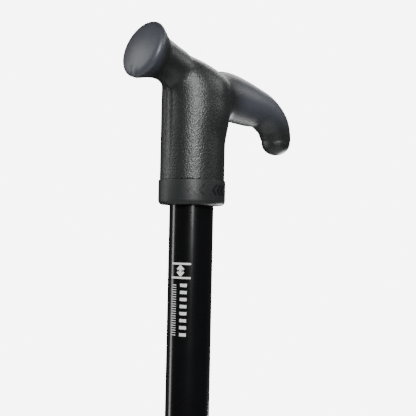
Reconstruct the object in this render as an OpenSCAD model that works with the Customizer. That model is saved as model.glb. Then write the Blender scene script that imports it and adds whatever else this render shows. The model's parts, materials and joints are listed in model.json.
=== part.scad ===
// Height-adjustable four-foot walking cane with a contoured over-moulded handle.
// Millimetres, +Z up, +X forwards. The origin is on the floor, at the middle of the four feet.
// The shaft stands nearer the two inner feet, on the +Y side.

/* [Feet] */
// Distance from the front feet to the rear feet
foot_span_x = 160; // [140:2:200]
// Distance from the inner feet to the outer feet
foot_span_y = 130; // [120:2:160]
// Radius of a rubber tip at the floor
tip_r = 16; // [14:0.5:20]
// Height of a rubber tip
tip_h = 36; // [30:1:42]

/* [Base] */
// Offset of the shaft from the middle of the feet, towards the inner feet
shaft_y = 22; // [0:1:26]
// Radius of a leg tube
leg_r = 8; // [7:0.5:8]
// Wall of a leg tube
leg_wall = 1.5; // [1:0.25:2]
// Height at which the legs meet the socket
leg_top_z = 120; // [112:1:126]
// Slope of a leg's arm, in degrees
leg_slope = 22; // [18:1:26]
// Bend radius of a leg
leg_bend_r = 32; // [28:1:34]
// Top of the steel socket
socket_top_z = 152; // [146:1:160]
// Outer radius of the steel socket
socket_r = 14; // [13.5:0.25:15]

/* [Shaft] */
// Outer radius of the upper tube
upper_r = 11; // [10.5:0.25:12.5]
// Wall of the upper tube
upper_wall = 1.2; // [1:0.1:1.5]
// Bottom of the upper tube
upper_bottom_z = 340; // [330:1:350]
// Outer radius of the lower tube
lower_r = 9.5; // [9:0.1:9.5]
// Wall of the lower tube
lower_wall = 1.3; // [1:0.1:1.5]
// Top of the lower tube
lower_top_z = 556; // [550:1:566]
// Distance between two height holes
hole_pitch = 20; // [18:1:22]
// Number of height holes, an odd number
hole_count = 13; // [9:2:13]
// Radius of a height hole
hole_r = 3.4; // [3.3:0.05:3.6]

/* [Handle] */
// Height of the underside of the handle's collar
collar_z = 766; // [760:1:780]
// Outer radius of the collar
collar_r = 16.2; // [16:0.1:17]
// Height of the collar
collar_h = 12.4; // [11:0.2:14]
// Radius of the handle's neck
neck_r = 15.8; // [15.4:0.1:16]
// Depth of the tube in the handle
socket_depth = 48; // [40:1:50]
// Radius of the disc at the rear end of the palm rest
disc_r = 14.5; // [13:0.25:16]
// Upward tilt of the disc
disc_tilt = 17; // [12:1:26]

/* [Hidden] */
$fn = 72;
eps = 0.01;

black_rubber = [0.20, 0.21, 0.22];
charcoal = [0.24, 0.25, 0.26];
black_tube = [0.03, 0.03, 0.035];
black_plastic = [0.07, 0.07, 0.08];
black_steel = [0.05, 0.05, 0.055];
bright_steel = [0.72, 0.73, 0.74];
natural_nylon = [0.80, 0.79, 0.74];

// Feet
foot_x = foot_span_x / 2;
foot_y = foot_span_y / 2;
feet = [
    [foot_x, foot_y], [-foot_x, foot_y], [foot_x, -foot_y], [-foot_x, -foot_y]
];
tip_floor = 8;
washer_t = 1.5;
leg_end_z = tip_floor + washer_t;
leg_start = 6;
bend_swell = 0.06;
bend_lap = 1;
tread_depth = 1.6;

// Socket
socket_bottom_z = 74;
socket_wall = 2.5;
socket_bore_r = socket_r - socket_wall;
liner_r = lower_r;
bolt_z = 138;
bolt_r = 2.5;
bolt_head_af = 8;
plug_h = 14;
lower_bottom_z = socket_bottom_z + plug_h - 4;

// Shaft
upper_bore_r = upper_r - upper_wall;
lower_bore_r = lower_r - lower_wall;
upper_top_z = collar_z + socket_depth;
button_z = lower_top_z - 24;
button_r = 3.1;
button_hole_r = button_r + 0.1;
button_tip_x = 14.2;
rivet_r = 1.5;
spring_w = 8;
spring_t = 0.7;
spring_x = sqrt(pow(lower_bore_r, 2) - pow(spring_w / 2, 2)) - 0.1;
spring_drop = 30;
guide_clear = 0.05;

// Clamp at the lower end of the upper tube
sleeve_top_z = upper_bottom_z + 26;
sleeve_bottom_z = upper_bottom_z - 22;
sleeve_r = 13;
sleeve_cone_r = 11.6;
thread_pitch = 2;
nut_bottom_z = sleeve_bottom_z - 9;
nut_top_z = upper_bottom_z + 13;
nut_r = 16.5;
nut_rib_count = 24;
nut_clear = 0.1;
ring_h = 4.5;
ring_r = 13.6;

// Handle
core_r = 13.4;
core_roof = 4;
rib_half_w = 4;
screw_z = collar_z + 6.4;
screw_r = 1.9;
screw_head_r = 3.6;
screw_head_h = 2.2;
screw_head_y = collar_r - 0.4;

// A round station of radius r on the disc's axis, at distance a inwards from its face.
disc_x = -33;
disc_z = 73.1;
function on_disc_axis(a, r) = [disc_x + a * cos(disc_tilt), disc_z - a * sin(disc_tilt), r, r];

// Stations along the grip's bar: [x, height above the collar, half height, half width].
bar = [
    on_disc_axis(-5.6, disc_r),
    on_disc_axis(0, disc_r),
    on_disc_axis(3.6, 0.9 * disc_r),
    on_disc_axis(8.9, 9.9),
    [-17.0, 68.3, 9.2, 9.8],
    [-8.0, 64.3, 10.4, 12.4],
    [3.0, 60.2, 11.0, 16.0],
    [11.0, 58.4, 11.6, 14.0],
    [19.0, 57.2, 12.0, 11.6],
    [28.0, 56.4, 12.0, 10.8],
    [39.0, 55.2, 10.9, 10.8],
    [49.0, 52.6, 9.7, 10.2],
    [57.2, 46.8, 9.1, 9.4],
    [60.8, 40.4, 8.2, 8.6],
    [61.4, 36.6, 7.6, 8.0],
    [61.2, 31.0, 7.0, 7.0]
];
bar_steps = 3;
bar_sides = 28;
cap_rings = 5;
disc_dome = 2.4;
tip_dome = 7.2;

// A point on a smooth curve through four values, at t from 0 to 1 between the middle two.
function smooth(a, b, c, d, t) =
    0.5 * (2 * b + (c - a) * t + (2 * a - 5 * b + 4 * c - d) * t * t
        + (3 * b - 3 * c + d - a) * t * t * t);

// The station at s, counted in stations from the second to the last but one.
function station(s) =
    let (i = max(0, min(floor(s), len(bar) - 4)), t = s - i)
    smooth(bar[i], bar[i + 1], bar[i + 2], bar[i + 3], t);

// Unit direction of the bar's spine at s.
function heading(s) =
    let (d = station(s + 0.02) - station(s - 0.02), n = norm([d[0], d[1]]))
    [d[0] / n, d[1] / n];

// One ring of the bar: its middle at c, square to u, with half height h and half width w.
function ring(c, u, h, w) = [
    for (k = [0:bar_sides - 1])
    let (a = 360 * k / bar_sides)
    [c[0] - u[1] * h * cos(a), w * sin(a), c[1] + u[0] * h * cos(a)]
];

// Rings of a rounded end of the given depth, from the rim out to nearly the middle.
function cap(s, side, depth) = [
    for (k = [1:cap_rings])
    let (a = 86 * k / cap_rings, p = station(s), u = heading(s), f = cos(a), e = side * depth * sin(a))
    ring([p[0] + u[0] * e, p[1] + u[1] * e], u, p[2] * f, p[3] * f)
];

function reversed(v) = [for (i = [len(v) - 1:-1:0]) v[i]];

// All rings of the bar, from the disc to the nose.
function bar_rings() =
    let (last = len(bar) - 3, n = last * bar_steps)
    concat(
        reversed(cap(0, -1, disc_dome)),
        [for (i = [0:n]) let (s = last * i / n, p = station(s)) ring(p, heading(s), p[2], p[3])],
        cap(last, 1, tip_dome)
    );

// Outline of the neck, [radius, height above the collar].
function neck_outline() =
    let (top = 50, dome = 14)
    concat(
        [[0, collar_h], [neck_r, collar_h], [neck_r, 34]],
        [for (k = [0:8]) let (a = 90 * k / 8) [neck_r * cos(a) + eps, top + dome * sin(a)]],
        [[0, top + dome]]
    );

module at_shaft() {
    translate([0, shaft_y, 0]) children();
}

module at_handle() {
    translate([0, shaft_y, collar_z]) children();
}

// An upright tube between two heights, centred on the shaft.
module tube(r, bore, z0, z1) {
    at_shaft() difference() {
        translate([0, 0, z0]) cylinder(r = r, h = z1 - z0);
        translate([0, 0, z0 - 1]) cylinder(r = bore, h = z1 - z0 + 2);
    }
}

// A cylinder along X from the shaft's axis side x0 to x1 at height z.
module along_x(r, x0, x1, z) {
    translate([x0, 0, z]) rotate([0, 90, 0]) cylinder(r = r, h = x1 - x0);
}

module skin(rings) {
    n = len(rings[0]);
    m = len(rings);
    polyhedron(
        points = [for (r = rings) for (p = r) p],
        faces = concat(
            [[for (k = [n - 1:-1:0]) k]],
            [for (i = [0:m - 2]) for (k = [0:n - 1]) let (a = i * n, b = a + n, j = (k + 1) % n) each [
                [a + k, a + j, b + j],
                [a + k, b + j, b + k]
            ]],
            [[for (k = [0:n - 1]) (m - 1) * n + k]]
        )
    );
}

// The flat rib that stiffens both arms of the handle, along the bar's spine.
module core_rib() {
    rotate([90, 0, 0]) linear_extrude(height = 2 * rib_half_w, center = true)
        polygon([
            [-26, 66], [-12, 60], [-6, 44], [6, 44], [12, 51], [40, 49], [53, 44], [56, 38],
            [62, 40], [58, 50], [42, 60], [12, 64], [-8, 71], [-24, 76]
        ]);
}

module handle_grip() {
    color(charcoal) at_handle() difference() {
        union() {
            skin(bar_rings());
            rotate_extrude() polygon(neck_outline());
        }
        translate([0, 0, collar_h - 1]) cylinder(r = core_r, h = socket_depth + core_roof - collar_h + 1);
        core_rib();
    }
}

module handle_core() {
    lip = 1.6;
    color(black_plastic) at_handle() difference() {
        union() {
            translate([0, 0, lip]) cylinder(r = core_r, h = socket_depth + core_roof - lip);
            core_rib();
        }
        cylinder(r = upper_r, h = socket_depth);
        translate([0, 0, screw_z - collar_z]) rotate([-90, 0, 0]) cylinder(r = screw_r, h = 2 * core_r);
    }
}

// The countersunk head, with its flat face just below the collar's surface.
module screw_head() {
    translate([0, 0, screw_head_y - screw_head_h]) cylinder(r1 = screw_r, r2 = screw_head_r, h = screw_head_h);
}

// Ring under the soft grip, with a rounded lower edge and a lip over the end of the core.
module handle_collar() {
    round = 2.6;
    lip = 1.6;
    color(charcoal) at_handle() difference() {
        rotate_extrude() polygon(concat(
            [[upper_r + 0.1, 0]],
            [for (k = [0:6]) let (a = -90 + 15 * k)
                [collar_r - round + round * cos(a), round + round * sin(a)]],
            [[collar_r, collar_h - 0.4], [collar_r - 0.4, collar_h], [core_r, collar_h], [core_r, lip],
                [upper_r + 0.1, lip]]
        ));
        translate([0, 0, screw_z - collar_z]) rotate([-90, 0, 0]) {
            cylinder(r = screw_r, h = 2 * collar_r);
            screw_head();
            translate([0, 0, screw_head_y]) cylinder(r = screw_head_r, h = screw_head_h);
        }
    }
}

// Countersunk self-tapping screw with a cross slot, through the collar and core into the tube.
module handle_screw() {
    tip_y = upper_bore_r - 1.5;
    slot_w = 0.9;
    slot_len = 4.4;
    slot_depth = 1.3;
    color(bright_steel) translate([0, shaft_y, screw_z]) rotate([-90, 0, 0]) difference() {
        union() {
            translate([0, 0, tip_y]) cylinder(r = screw_r, h = screw_head_y - slot_depth - tip_y);
            screw_head();
        }
        for (a = [0, 90]) rotate([0, 0, a])
            translate([-slot_w / 2, -slot_len / 2, screw_head_y - slot_depth]) cube([slot_w, slot_len, 2 * slot_depth]);
    }
}

module upper_tube() {
    middle = (hole_count - 1) / 2;
    color(black_tube) difference() {
        tube(upper_r, upper_bore_r, upper_bottom_z, upper_top_z);
        at_shaft() {
            for (k = [-middle:middle])
                along_x(hole_r, 0, upper_r + 1, button_z + k * hole_pitch);
            translate([0, 0, screw_z]) rotate([-90, 0, 0]) cylinder(r = screw_r, h = upper_r + 1);
            along_x(2, -upper_r - 1, 0, upper_bottom_z + 14);
        }
    }
}

// Threaded collet on the end of the upper tube. Its slotted lower end grips the lower tube.
module clamp_sleeve() {
    crest = sleeve_r;
    root = crest - 0.6;
    rim = crest + 0.6;
    bore = lower_r + guide_clear;
    turns = 6;
    thread_z = upper_bottom_z - 2;
    color(black_plastic) difference() {
        union() {
            at_shaft() rotate_extrude() polygon(concat(
                [[bore, sleeve_bottom_z], [sleeve_cone_r - 0.8, sleeve_bottom_z],
                    [sleeve_cone_r, sleeve_bottom_z + 7], [root, thread_z]],
                [for (k = [0:turns - 1]) each [
                    [crest, thread_z + thread_pitch * (k + 0.35)],
                    [crest, thread_z + thread_pitch * (k + 0.65)],
                    [root, thread_z + thread_pitch * (k + 1)]
                ]],
                [[rim, sleeve_top_z - 10], [rim, sleeve_top_z - 1.5], [root, sleeve_top_z],
                    [upper_r, sleeve_top_z], [upper_r, upper_bottom_z], [bore, upper_bottom_z]]
            ));
            at_shaft() along_x(2, -upper_r - 0.5, -upper_bore_r, upper_bottom_z + 14);
        }
        at_shaft() for (a = [45, 135]) rotate([0, 0, a])
            translate([-20, -0.7, sleeve_bottom_z - 1]) cube([40, 1.4, 15]);
    }
}

// Split ring that the nut presses up over the collet's cone.
module clamp_ring() {
    z0 = sleeve_bottom_z - 1;
    color(natural_nylon) at_shaft() difference() {
        translate([0, 0, z0]) cylinder(r = ring_r, h = ring_h + 1);
        translate([0, 0, z0 - 1]) cylinder(r = sleeve_cone_r + 0.1, h = ring_h + 3);
        translate([0, -1, z0 - 1]) cube([20, 2, ring_h + 3]);
    }
}

module lock_nut() {
    bore = sleeve_r + nut_clear;
    pocket_r = ring_r + nut_clear;
    pocket_z = sleeve_bottom_z - 1.1;
    step_z = sleeve_bottom_z + 8;
    flute_r = 1.1;
    low_bore = lower_r + 0.3;
    color(black_plastic) at_shaft() difference() {
        rotate_extrude() polygon([
            [low_bore, nut_bottom_z], [nut_r - 3.4, nut_bottom_z], [nut_r - 1.6, nut_bottom_z + 2.5],
            [nut_r, nut_bottom_z + 8], [nut_r, nut_top_z - 2], [nut_r - 1, nut_top_z], [bore, nut_top_z],
            [bore, step_z], [pocket_r, step_z], [pocket_r, pocket_z], [low_bore, pocket_z]
        ]);
        for (k = [0:nut_rib_count - 1]) rotate([0, 0, 360 * k / nut_rib_count])
            translate([nut_r + 0.4, 0, nut_bottom_z + 7]) cylinder(r = flute_r, h = nut_top_z - nut_bottom_z - 10);
    }
}

module lower_tube() {
    color(black_tube) difference() {
        tube(lower_r, lower_bore_r, lower_bottom_z, lower_top_z);
        at_shaft() {
            along_x(button_hole_r, 0, lower_r + 1, button_z);
            along_x(bolt_r, -lower_r - 1, lower_r + 1, bolt_z);
        }
    }
}

// Nylon cap on the lower tube's top end, which runs in the upper tube.
module tube_guide() {
    plug_len = 9;
    color(natural_nylon) at_shaft() difference() {
        rotate_extrude() polygon([
            [4, lower_top_z - plug_len], [lower_bore_r - 0.6, lower_top_z - plug_len],
            [lower_bore_r, lower_top_z - plug_len + 2], [lower_bore_r, lower_top_z],
            [upper_bore_r - guide_clear, lower_top_z], [upper_bore_r - guide_clear, lower_top_z + 5],
            [upper_bore_r - 1, lower_top_z + 6.5], [4, lower_top_z + 6.5]
        ]);
        for (a = [0, 90]) rotate([0, 0, a])
            translate([-20, -0.6, lower_top_z - plug_len - 1]) cube([40, 1.2, plug_len - 1]);
    }
}

// Domed button, riveted to the spring.
module snap_button() {
    dome = 2.2;
    head_r = rivet_r + 0.7;
    back_x = spring_x - spring_t;
    color(bright_steel) at_shaft() translate([0, 0, button_z]) rotate([0, 90, 0])
        rotate_extrude() polygon(concat(
            [[0, back_x - 0.8], [head_r, back_x - 0.8], [head_r, back_x], [rivet_r, back_x],
                [rivet_r, spring_x], [button_r, spring_x]],
            [for (k = [0:6]) let (a = 15 * k) [button_r * cos(a), button_tip_x - dome + dome * sin(a)]]
        ));
}

// Leaf spring bent to a V, with the button on one leg and the other leg against the tube's far wall.
module snap_spring() {
    mid_z = button_z - spring_drop;
    top_z = button_z + 6;
    bend_r = 4;
    outer_x = spring_x;
    inner_x = outer_x - spring_t;
    color(bright_steel) at_shaft() difference() {
        rotate([90, 0, 0]) linear_extrude(height = spring_w, center = true)
            polygon(concat(
                [[outer_x, top_z], [outer_x, button_z - 8]],
                [for (k = [0:8]) let (a = -180 * k / 8) [bend_r * cos(a), mid_z + bend_r * sin(a)]],
                [[-outer_x, button_z - 14], [-outer_x, top_z]],
                [[-inner_x, top_z], [-inner_x, button_z - 14]],
                [for (k = [8:-1:0]) let (a = -180 * k / 8)
                    [(bend_r - spring_t) * cos(a), mid_z + (bend_r - spring_t) * sin(a)]],
                [[inner_x, button_z - 8], [inner_x, top_z]]
            ));
        along_x(rivet_r + 0.05, inner_x - 1, outer_x + 1, button_z);
    }
}

module base_socket() {
    color(black_steel) difference() {
        tube(socket_r, socket_bore_r, socket_bottom_z, socket_top_z);
        at_shaft() along_x(bolt_r, -socket_r - 1, socket_r + 1, bolt_z);
    }
}

// Plastic liner between the socket and the lower tube, with a flange on the socket's rim.
module socket_liner() {
    flange = 3;
    color(black_plastic) difference() {
        at_shaft() rotate_extrude() polygon([
            [liner_r, lower_bottom_z], [socket_bore_r, lower_bottom_z], [socket_bore_r, socket_top_z],
            [socket_r + 0.6, socket_top_z], [socket_r + 0.6, socket_top_z + flange - 1],
            [socket_r - 0.6, socket_top_z + flange], [liner_r, socket_top_z + flange]
        ]);
        at_shaft() along_x(bolt_r, -socket_r - 1, socket_r + 1, bolt_z);
    }
}

// Plug in the socket's lower end. The lower tube stands on it.
module socket_plug() {
    color(black_plastic) at_shaft() rotate_extrude() polygon([
        [0, socket_bottom_z - 3], [socket_r - 1.5, socket_bottom_z - 3], [socket_r, socket_bottom_z - 1.5],
        [socket_r, socket_bottom_z], [socket_bore_r, socket_bottom_z], [socket_bore_r, lower_bottom_z],
        [0, lower_bottom_z]
    ]);
}

// Hexagon bolt through the socket, liner and lower tube, with its head at the rear.
module socket_bolt() {
    head_h = 3.5;
    color(bright_steel) at_shaft() {
        along_x(bolt_r, -socket_r, socket_r + 7, bolt_z);
        translate([-socket_r - head_h, 0, bolt_z]) rotate([0, 90, 0])
            cylinder(r = bolt_head_af / sqrt(3), h = head_h, $fn = 6);
    }
}

// Domed lock nut at the front.
module socket_nut() {
    nut_h = 4;
    dome_r = 3.6;
    color(bright_steel) at_shaft() difference() {
        union() {
            translate([socket_r, 0, bolt_z]) rotate([0, 90, 0])
                cylinder(r = bolt_head_af / sqrt(3), h = nut_h, $fn = 6);
            translate([socket_r + nut_h, 0, bolt_z]) rotate([0, 90, 0]) rotate_extrude() polygon(concat(
                [[0, 0], [dome_r, 0]],
                [for (k = [0:6]) let (a = 15 * k) [dome_r * cos(a), 0.8 + 4 * sin(a)]]
            ));
        }
        along_x(bolt_r, socket_r - 1, socket_r + 7, bolt_z);
    }
}

// A bent rod of radius r from the shaft's axis out to the given reach, lying in the XZ plane.
// Its bend is a hair thicker, as a bent tube is, and laps over the straight runs.
module leg_run(reach, r) {
    turn = 90 - leg_slope;
    tangent = leg_bend_r * tan(turn / 2);
    arm = (reach - leg_start) / cos(leg_slope) - tangent;
    bend_z = leg_top_z - reach * tan(leg_slope) - tangent;
    down = bend_z - leg_end_z;
    translate([reach - leg_bend_r, 0, bend_z]) {
        rotate([90, 0, 0]) rotate_extrude(angle = turn)
            translate([leg_bend_r, 0]) circle(r = r + bend_swell);
        rotate([0, -turn, 0]) translate([leg_bend_r, 0, -bend_lap]) cylinder(r = r, h = arm + bend_lap);
        translate([leg_bend_r, 0, -down]) cylinder(r = r, h = down + bend_lap);
    }
}

module leg(foot) {
    dx = foot[0];
    dy = foot[1] - shaft_y;
    reach = norm([dx, dy]);
    color(black_steel) at_shaft() difference() {
        rotate([0, 0, atan2(dy, dx)]) difference() {
            leg_run(reach, leg_r);
            leg_run(reach, leg_r - leg_wall);
        }
        translate([0, 0, socket_bottom_z]) cylinder(r = socket_r, h = leg_top_z);
    }
}

// Rubber tip with a flared foot and a ringed tread.
module tip(foot) {
    waist_r = 11;
    rim_r = 11.8;
    color(black_rubber) translate([foot[0], foot[1], 0]) rotate_extrude() polygon([
        [0, 0], [4, 0], [4.6, tread_depth], [6.4, tread_depth], [7, 0], [8.8, 0], [9.4, tread_depth],
        [11.2, tread_depth], [11.8, 0], [tip_r - 0.8, 0], [tip_r, 0.8], [tip_r, 4], [tip_r - 1, 6],
        [waist_r + 1.4, 11], [waist_r + 0.3, 15], [waist_r, 19], [waist_r, tip_h - 5.5],
        [rim_r, tip_h - 4.5], [rim_r, tip_h - 1], [rim_r - 1, tip_h], [leg_r, tip_h],
        [leg_r, tip_floor], [0, tip_floor]
    ]);
}

// Steel washer between the leg's end and the rubber.
module washer(foot) {
    color(bright_steel) translate([foot[0], foot[1], tip_floor]) difference() {
        cylinder(r = leg_r, h = washer_t);
        translate([0, 0, -1]) cylinder(r = 2.5, h = washer_t + 2);
    }
}

handle_grip();
handle_core();
handle_collar();
handle_screw();
upper_tube();
clamp_sleeve();
clamp_ring();
lock_nut();
lower_tube();
tube_guide();
snap_button();
snap_spring();
base_socket();
socket_liner();
socket_plug();
socket_bolt();
socket_nut();
leg(feet[0]);  // leg_front_inner
leg(feet[1]);  // leg_rear_inner
leg(feet[2]);  // leg_front_outer
leg(feet[3]);  // leg_rear_outer
tip(feet[0]);  // tip_front_inner
tip(feet[1]);  // tip_rear_inner
tip(feet[2]);  // tip_front_outer
tip(feet[3]);  // tip_rear_outer
washer(feet[0]);  // washer_front_inner
washer(feet[1]);  // washer_rear_inner
washer(feet[2]);  // washer_front_outer
washer(feet[3]);  // washer_rear_outer
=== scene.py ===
"""The looks of a height-adjustable walking cane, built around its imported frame.

Lengths in the frame are metres. Sizes of the pieces made here are given in millimetres and
converted once, by the function metres or by the mesh classes.
"""

import json
import logging
import math
from dataclasses import dataclass, field
from enum import Enum
from typing import Any, Callable, ClassVar, Iterable, Sequence

import bmesh
import bpy
import numpy as np
from mathutils import Matrix, Vector


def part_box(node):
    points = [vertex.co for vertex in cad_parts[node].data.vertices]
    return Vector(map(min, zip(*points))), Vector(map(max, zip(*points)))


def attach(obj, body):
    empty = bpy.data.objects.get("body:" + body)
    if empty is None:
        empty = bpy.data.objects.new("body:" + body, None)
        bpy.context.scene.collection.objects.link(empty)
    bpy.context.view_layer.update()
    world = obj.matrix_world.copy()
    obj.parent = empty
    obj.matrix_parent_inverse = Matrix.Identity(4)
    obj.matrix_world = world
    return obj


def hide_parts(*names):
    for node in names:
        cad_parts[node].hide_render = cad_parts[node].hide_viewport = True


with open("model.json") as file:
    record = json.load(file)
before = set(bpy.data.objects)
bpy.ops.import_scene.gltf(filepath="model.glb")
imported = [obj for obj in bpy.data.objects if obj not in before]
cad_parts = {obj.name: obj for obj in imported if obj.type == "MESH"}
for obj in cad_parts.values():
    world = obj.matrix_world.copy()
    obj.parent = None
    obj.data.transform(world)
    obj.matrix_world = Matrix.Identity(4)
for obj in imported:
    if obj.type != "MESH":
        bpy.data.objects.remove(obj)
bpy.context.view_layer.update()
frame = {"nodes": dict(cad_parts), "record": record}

MM = 0.001
TINY = 1e-6
ROUND_SHARE = 0.49

log = logging.getLogger("cane")

Color = tuple[float, float, float]
Point = tuple[float, float]
Point3 = tuple[float, float, float]
Station = tuple[float, float, float, float]


def metres(value: float) -> float:
    """Turn millimetres into metres."""
    return value * MM


# ---------------------------------------------------------------------------
# Node graphs
# ---------------------------------------------------------------------------


class Num:
    """A number in a node graph. Arithmetic on it adds Math nodes."""

    def __init__(self, graph: "Graph", socket: bpy.types.NodeSocket) -> None:
        """Wrap an output socket of a graph."""
        self.graph = graph
        self.socket = socket

    def math(self, operation: str, *others: Any) -> "Num":
        """Apply a Math node to this number.

        Args:
            operation: The Math node's operation.
            others: The further operands, numbers or Nums.

        Returns:
            The result.
        """
        operands = dict(enumerate((self, *others)))
        node = self.graph.add("ShaderNodeMath", {"operation": operation}, operands)
        return Num(self.graph, node.outputs[0])

    def __add__(self, other: Any) -> "Num":
        """Return self + other."""
        return self.math("ADD", other)

    __radd__ = __add__

    def __mul__(self, other: Any) -> "Num":
        """Return self * other."""
        return self.math("MULTIPLY", other)

    __rmul__ = __mul__

    def __sub__(self, other: Any) -> "Num":
        """Return self - other."""
        return self.math("SUBTRACT", other)

    def __rsub__(self, other: Any) -> "Num":
        """Return other - self."""
        return (self * -1.0) + other

    def __truediv__(self, other: Any) -> "Num":
        """Return self / other."""
        return self.math("DIVIDE", other)

    def rise(self, low: float, high: float) -> "Num":
        """Map this number smoothly to 0 below low and 1 above high.

        Args:
            low: Where the rise starts.
            high: Where it ends.

        Returns:
            The risen number.
        """
        node = self.graph.add(
            "ShaderNodeMapRange",
            {"interpolation_type": "SMOOTHSTEP"},
            {"Value": self, "From Min": low, "From Max": high},
        )
        return Num(self.graph, node.outputs[0])


class Graph:
    """Adds nodes to a node tree."""

    def __init__(self, tree: bpy.types.NodeTree) -> None:
        """Empty the tree and keep it."""
        self.tree = tree
        tree.nodes.clear()

    def add(
        self,
        kind: str,
        settings: dict[str, Any] | None = None,
        inputs: dict[str | int, Any] | None = None,
    ) -> bpy.types.Node:
        """Add one node.

        Args:
            kind: The node's type name.
            settings: Attributes, set before the inputs.
            inputs: Values, sockets or Nums for its input sockets.

        Returns:
            The new node.
        """
        node = self.tree.nodes.new(kind)
        for name, value in (settings or {}).items():
            setattr(node, name, value)
        for key, value in (inputs or {}).items():
            socket = node.inputs[key]
            if isinstance(value, Num):
                value = value.socket
            if isinstance(value, bpy.types.NodeSocket):
                self.tree.links.new(value, socket)
            else:
                socket.default_value = value
        return node

    def num(
        self,
        kind: str,
        settings: dict[str, Any] | None = None,
        inputs: dict[str | int, Any] | None = None,
        out: str | int = 0,
    ) -> Num:
        """Add a node and return one of its outputs as a number."""
        return Num(self, self.add(kind, settings, inputs).outputs[out])

    def noise(self, place: bpy.types.NodeSocket, scale: float, detail: float = 3.0) -> Num:
        """Return a noise from 0 to 1 with the given number of features in a metre."""
        return self.num("ShaderNodeTexNoise", None, {"Vector": place, "Scale": scale, "Detail": detail})

    def cells(self, place: bpy.types.NodeSocket, scale: float) -> Num:
        """Return the distance pattern of random cells, with the given number in a metre."""
        return self.num("ShaderNodeTexVoronoi", None, {"Vector": place, "Scale": scale}, "Distance")

    def blend(
        self, factor: Num, low: Color | bpy.types.NodeSocket, high: Color
    ) -> bpy.types.NodeSocket:
        """Mix two colors, or a socket's color and another, by a number.

        Args:
            factor: How much of the second color is seen.
            low: The first color, or its socket.
            high: The second color.

        Returns:
            The mixed color's socket.
        """
        start = low if isinstance(low, bpy.types.NodeSocket) else (*low, 1)
        node = self.add(
            "ShaderNodeMix",
            {"data_type": "RGBA"},
            {"Factor": factor, "A": start, "B": (*high, 1)},
        )
        return next(out for out in node.outputs if out.type == "RGBA")


# ---------------------------------------------------------------------------
# Finishes
# ---------------------------------------------------------------------------


def tinted(color: Color, gain: float) -> Color:
    """Return a color made lighter or darker by a factor."""
    return tuple(min(1.0, c * gain) for c in color)


@dataclass(frozen=True)
class Finish:
    """A surface finish. Its subclasses add the pattern of one kind of surface.

    TONES are the gains of its darkest and lightest tone, and SPREAD is how far the roughness goes
    from its mean. The other names in capitals are the patterns' scales, in features in a metre.

    Attributes:
        name: The material's name.
        color: Base color.
        roughness: Mean roughness.
        metallic: 1 for bare metal.
        coat: Weight of a clear coat.
        coat_roughness: Roughness of the clear coat.
        specular: Specular level, 0.5 for most surfaces.
    """

    TONES: ClassVar[Point] = (0.92, 1.08)
    SPREAD: ClassVar[float] = 0.04
    MOTTLE: ClassVar[float] = 60.0

    name: str
    color: Color
    roughness: float
    metallic: float = 0.0
    coat: float = 0.0
    coat_roughness: float = 0.05
    specular: float = 0.5

    def material(self) -> bpy.types.Material:
        """Build the material.

        Returns:
            The new material.
        """
        made = bpy.data.materials.new(self.name)
        made.use_nodes = True
        made.diffuse_color = (*self.color, 1)
        graph = Graph(made.node_tree)
        shader = graph.add(
            "ShaderNodeBsdfPrincipled",
            None,
            {
                "Base Color": (*self.color, 1),
                "Roughness": self.roughness,
                "Metallic": self.metallic,
                "Coat Weight": self.coat,
                "Coat Roughness": self.coat_roughness,
                "Specular IOR Level": self.specular,
            },
        )
        graph.add("ShaderNodeOutputMaterial", None, {"Surface": shader.outputs[0]})
        place = graph.add("ShaderNodeTexCoord").outputs["Object"]
        self.dress(graph, shader, place)
        return made

    def dress(self, graph: Graph, shader: bpy.types.Node, place: bpy.types.NodeSocket) -> None:
        """Add the finish's pattern. The plain finish has a faint mottle.

        Args:
            graph: The material's graph.
            shader: Its main shader.
            place: The place of a point on the piece.
        """
        mottle = graph.noise(place, self.MOTTLE)
        self.color_by(graph, shader, mottle)
        self.rough_by(graph, shader, mottle)

    def color_by(self, graph: Graph, shader: bpy.types.Node, factor: Num) -> None:
        """Vary the base color from its darkest to its lightest tone by a number from 0 to 1."""
        dark, light = (tinted(self.color, gain) for gain in self.TONES)
        graph.tree.links.new(graph.blend(factor, dark, light), shader.inputs["Base Color"])

    def rough_by(self, graph: Graph, shader: bpy.types.Node, factor: Num) -> None:
        """Vary the roughness by a number from 0 to 1, around its mean."""
        value = (factor - 0.5) * (2 * self.SPREAD) + self.roughness
        graph.tree.links.new(value.socket, shader.inputs["Roughness"])

    def emboss(
        self, graph: Graph, shader: bpy.types.Node, height: Num, depth_mm: float
    ) -> None:
        """Bump the surface by a height from 0 to 1.

        Args:
            graph: The material's graph.
            shader: The shader whose normal is bumped.
            height: The height.
            depth_mm: What a height of 1 stands for, in millimetres.
        """
        bump = graph.add(
            "ShaderNodeBump", None, {"Height": height, "Distance": metres(depth_mm), "Strength": 1.0}
        )
        graph.tree.links.new(bump.outputs[0], shader.inputs["Normal"])


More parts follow.
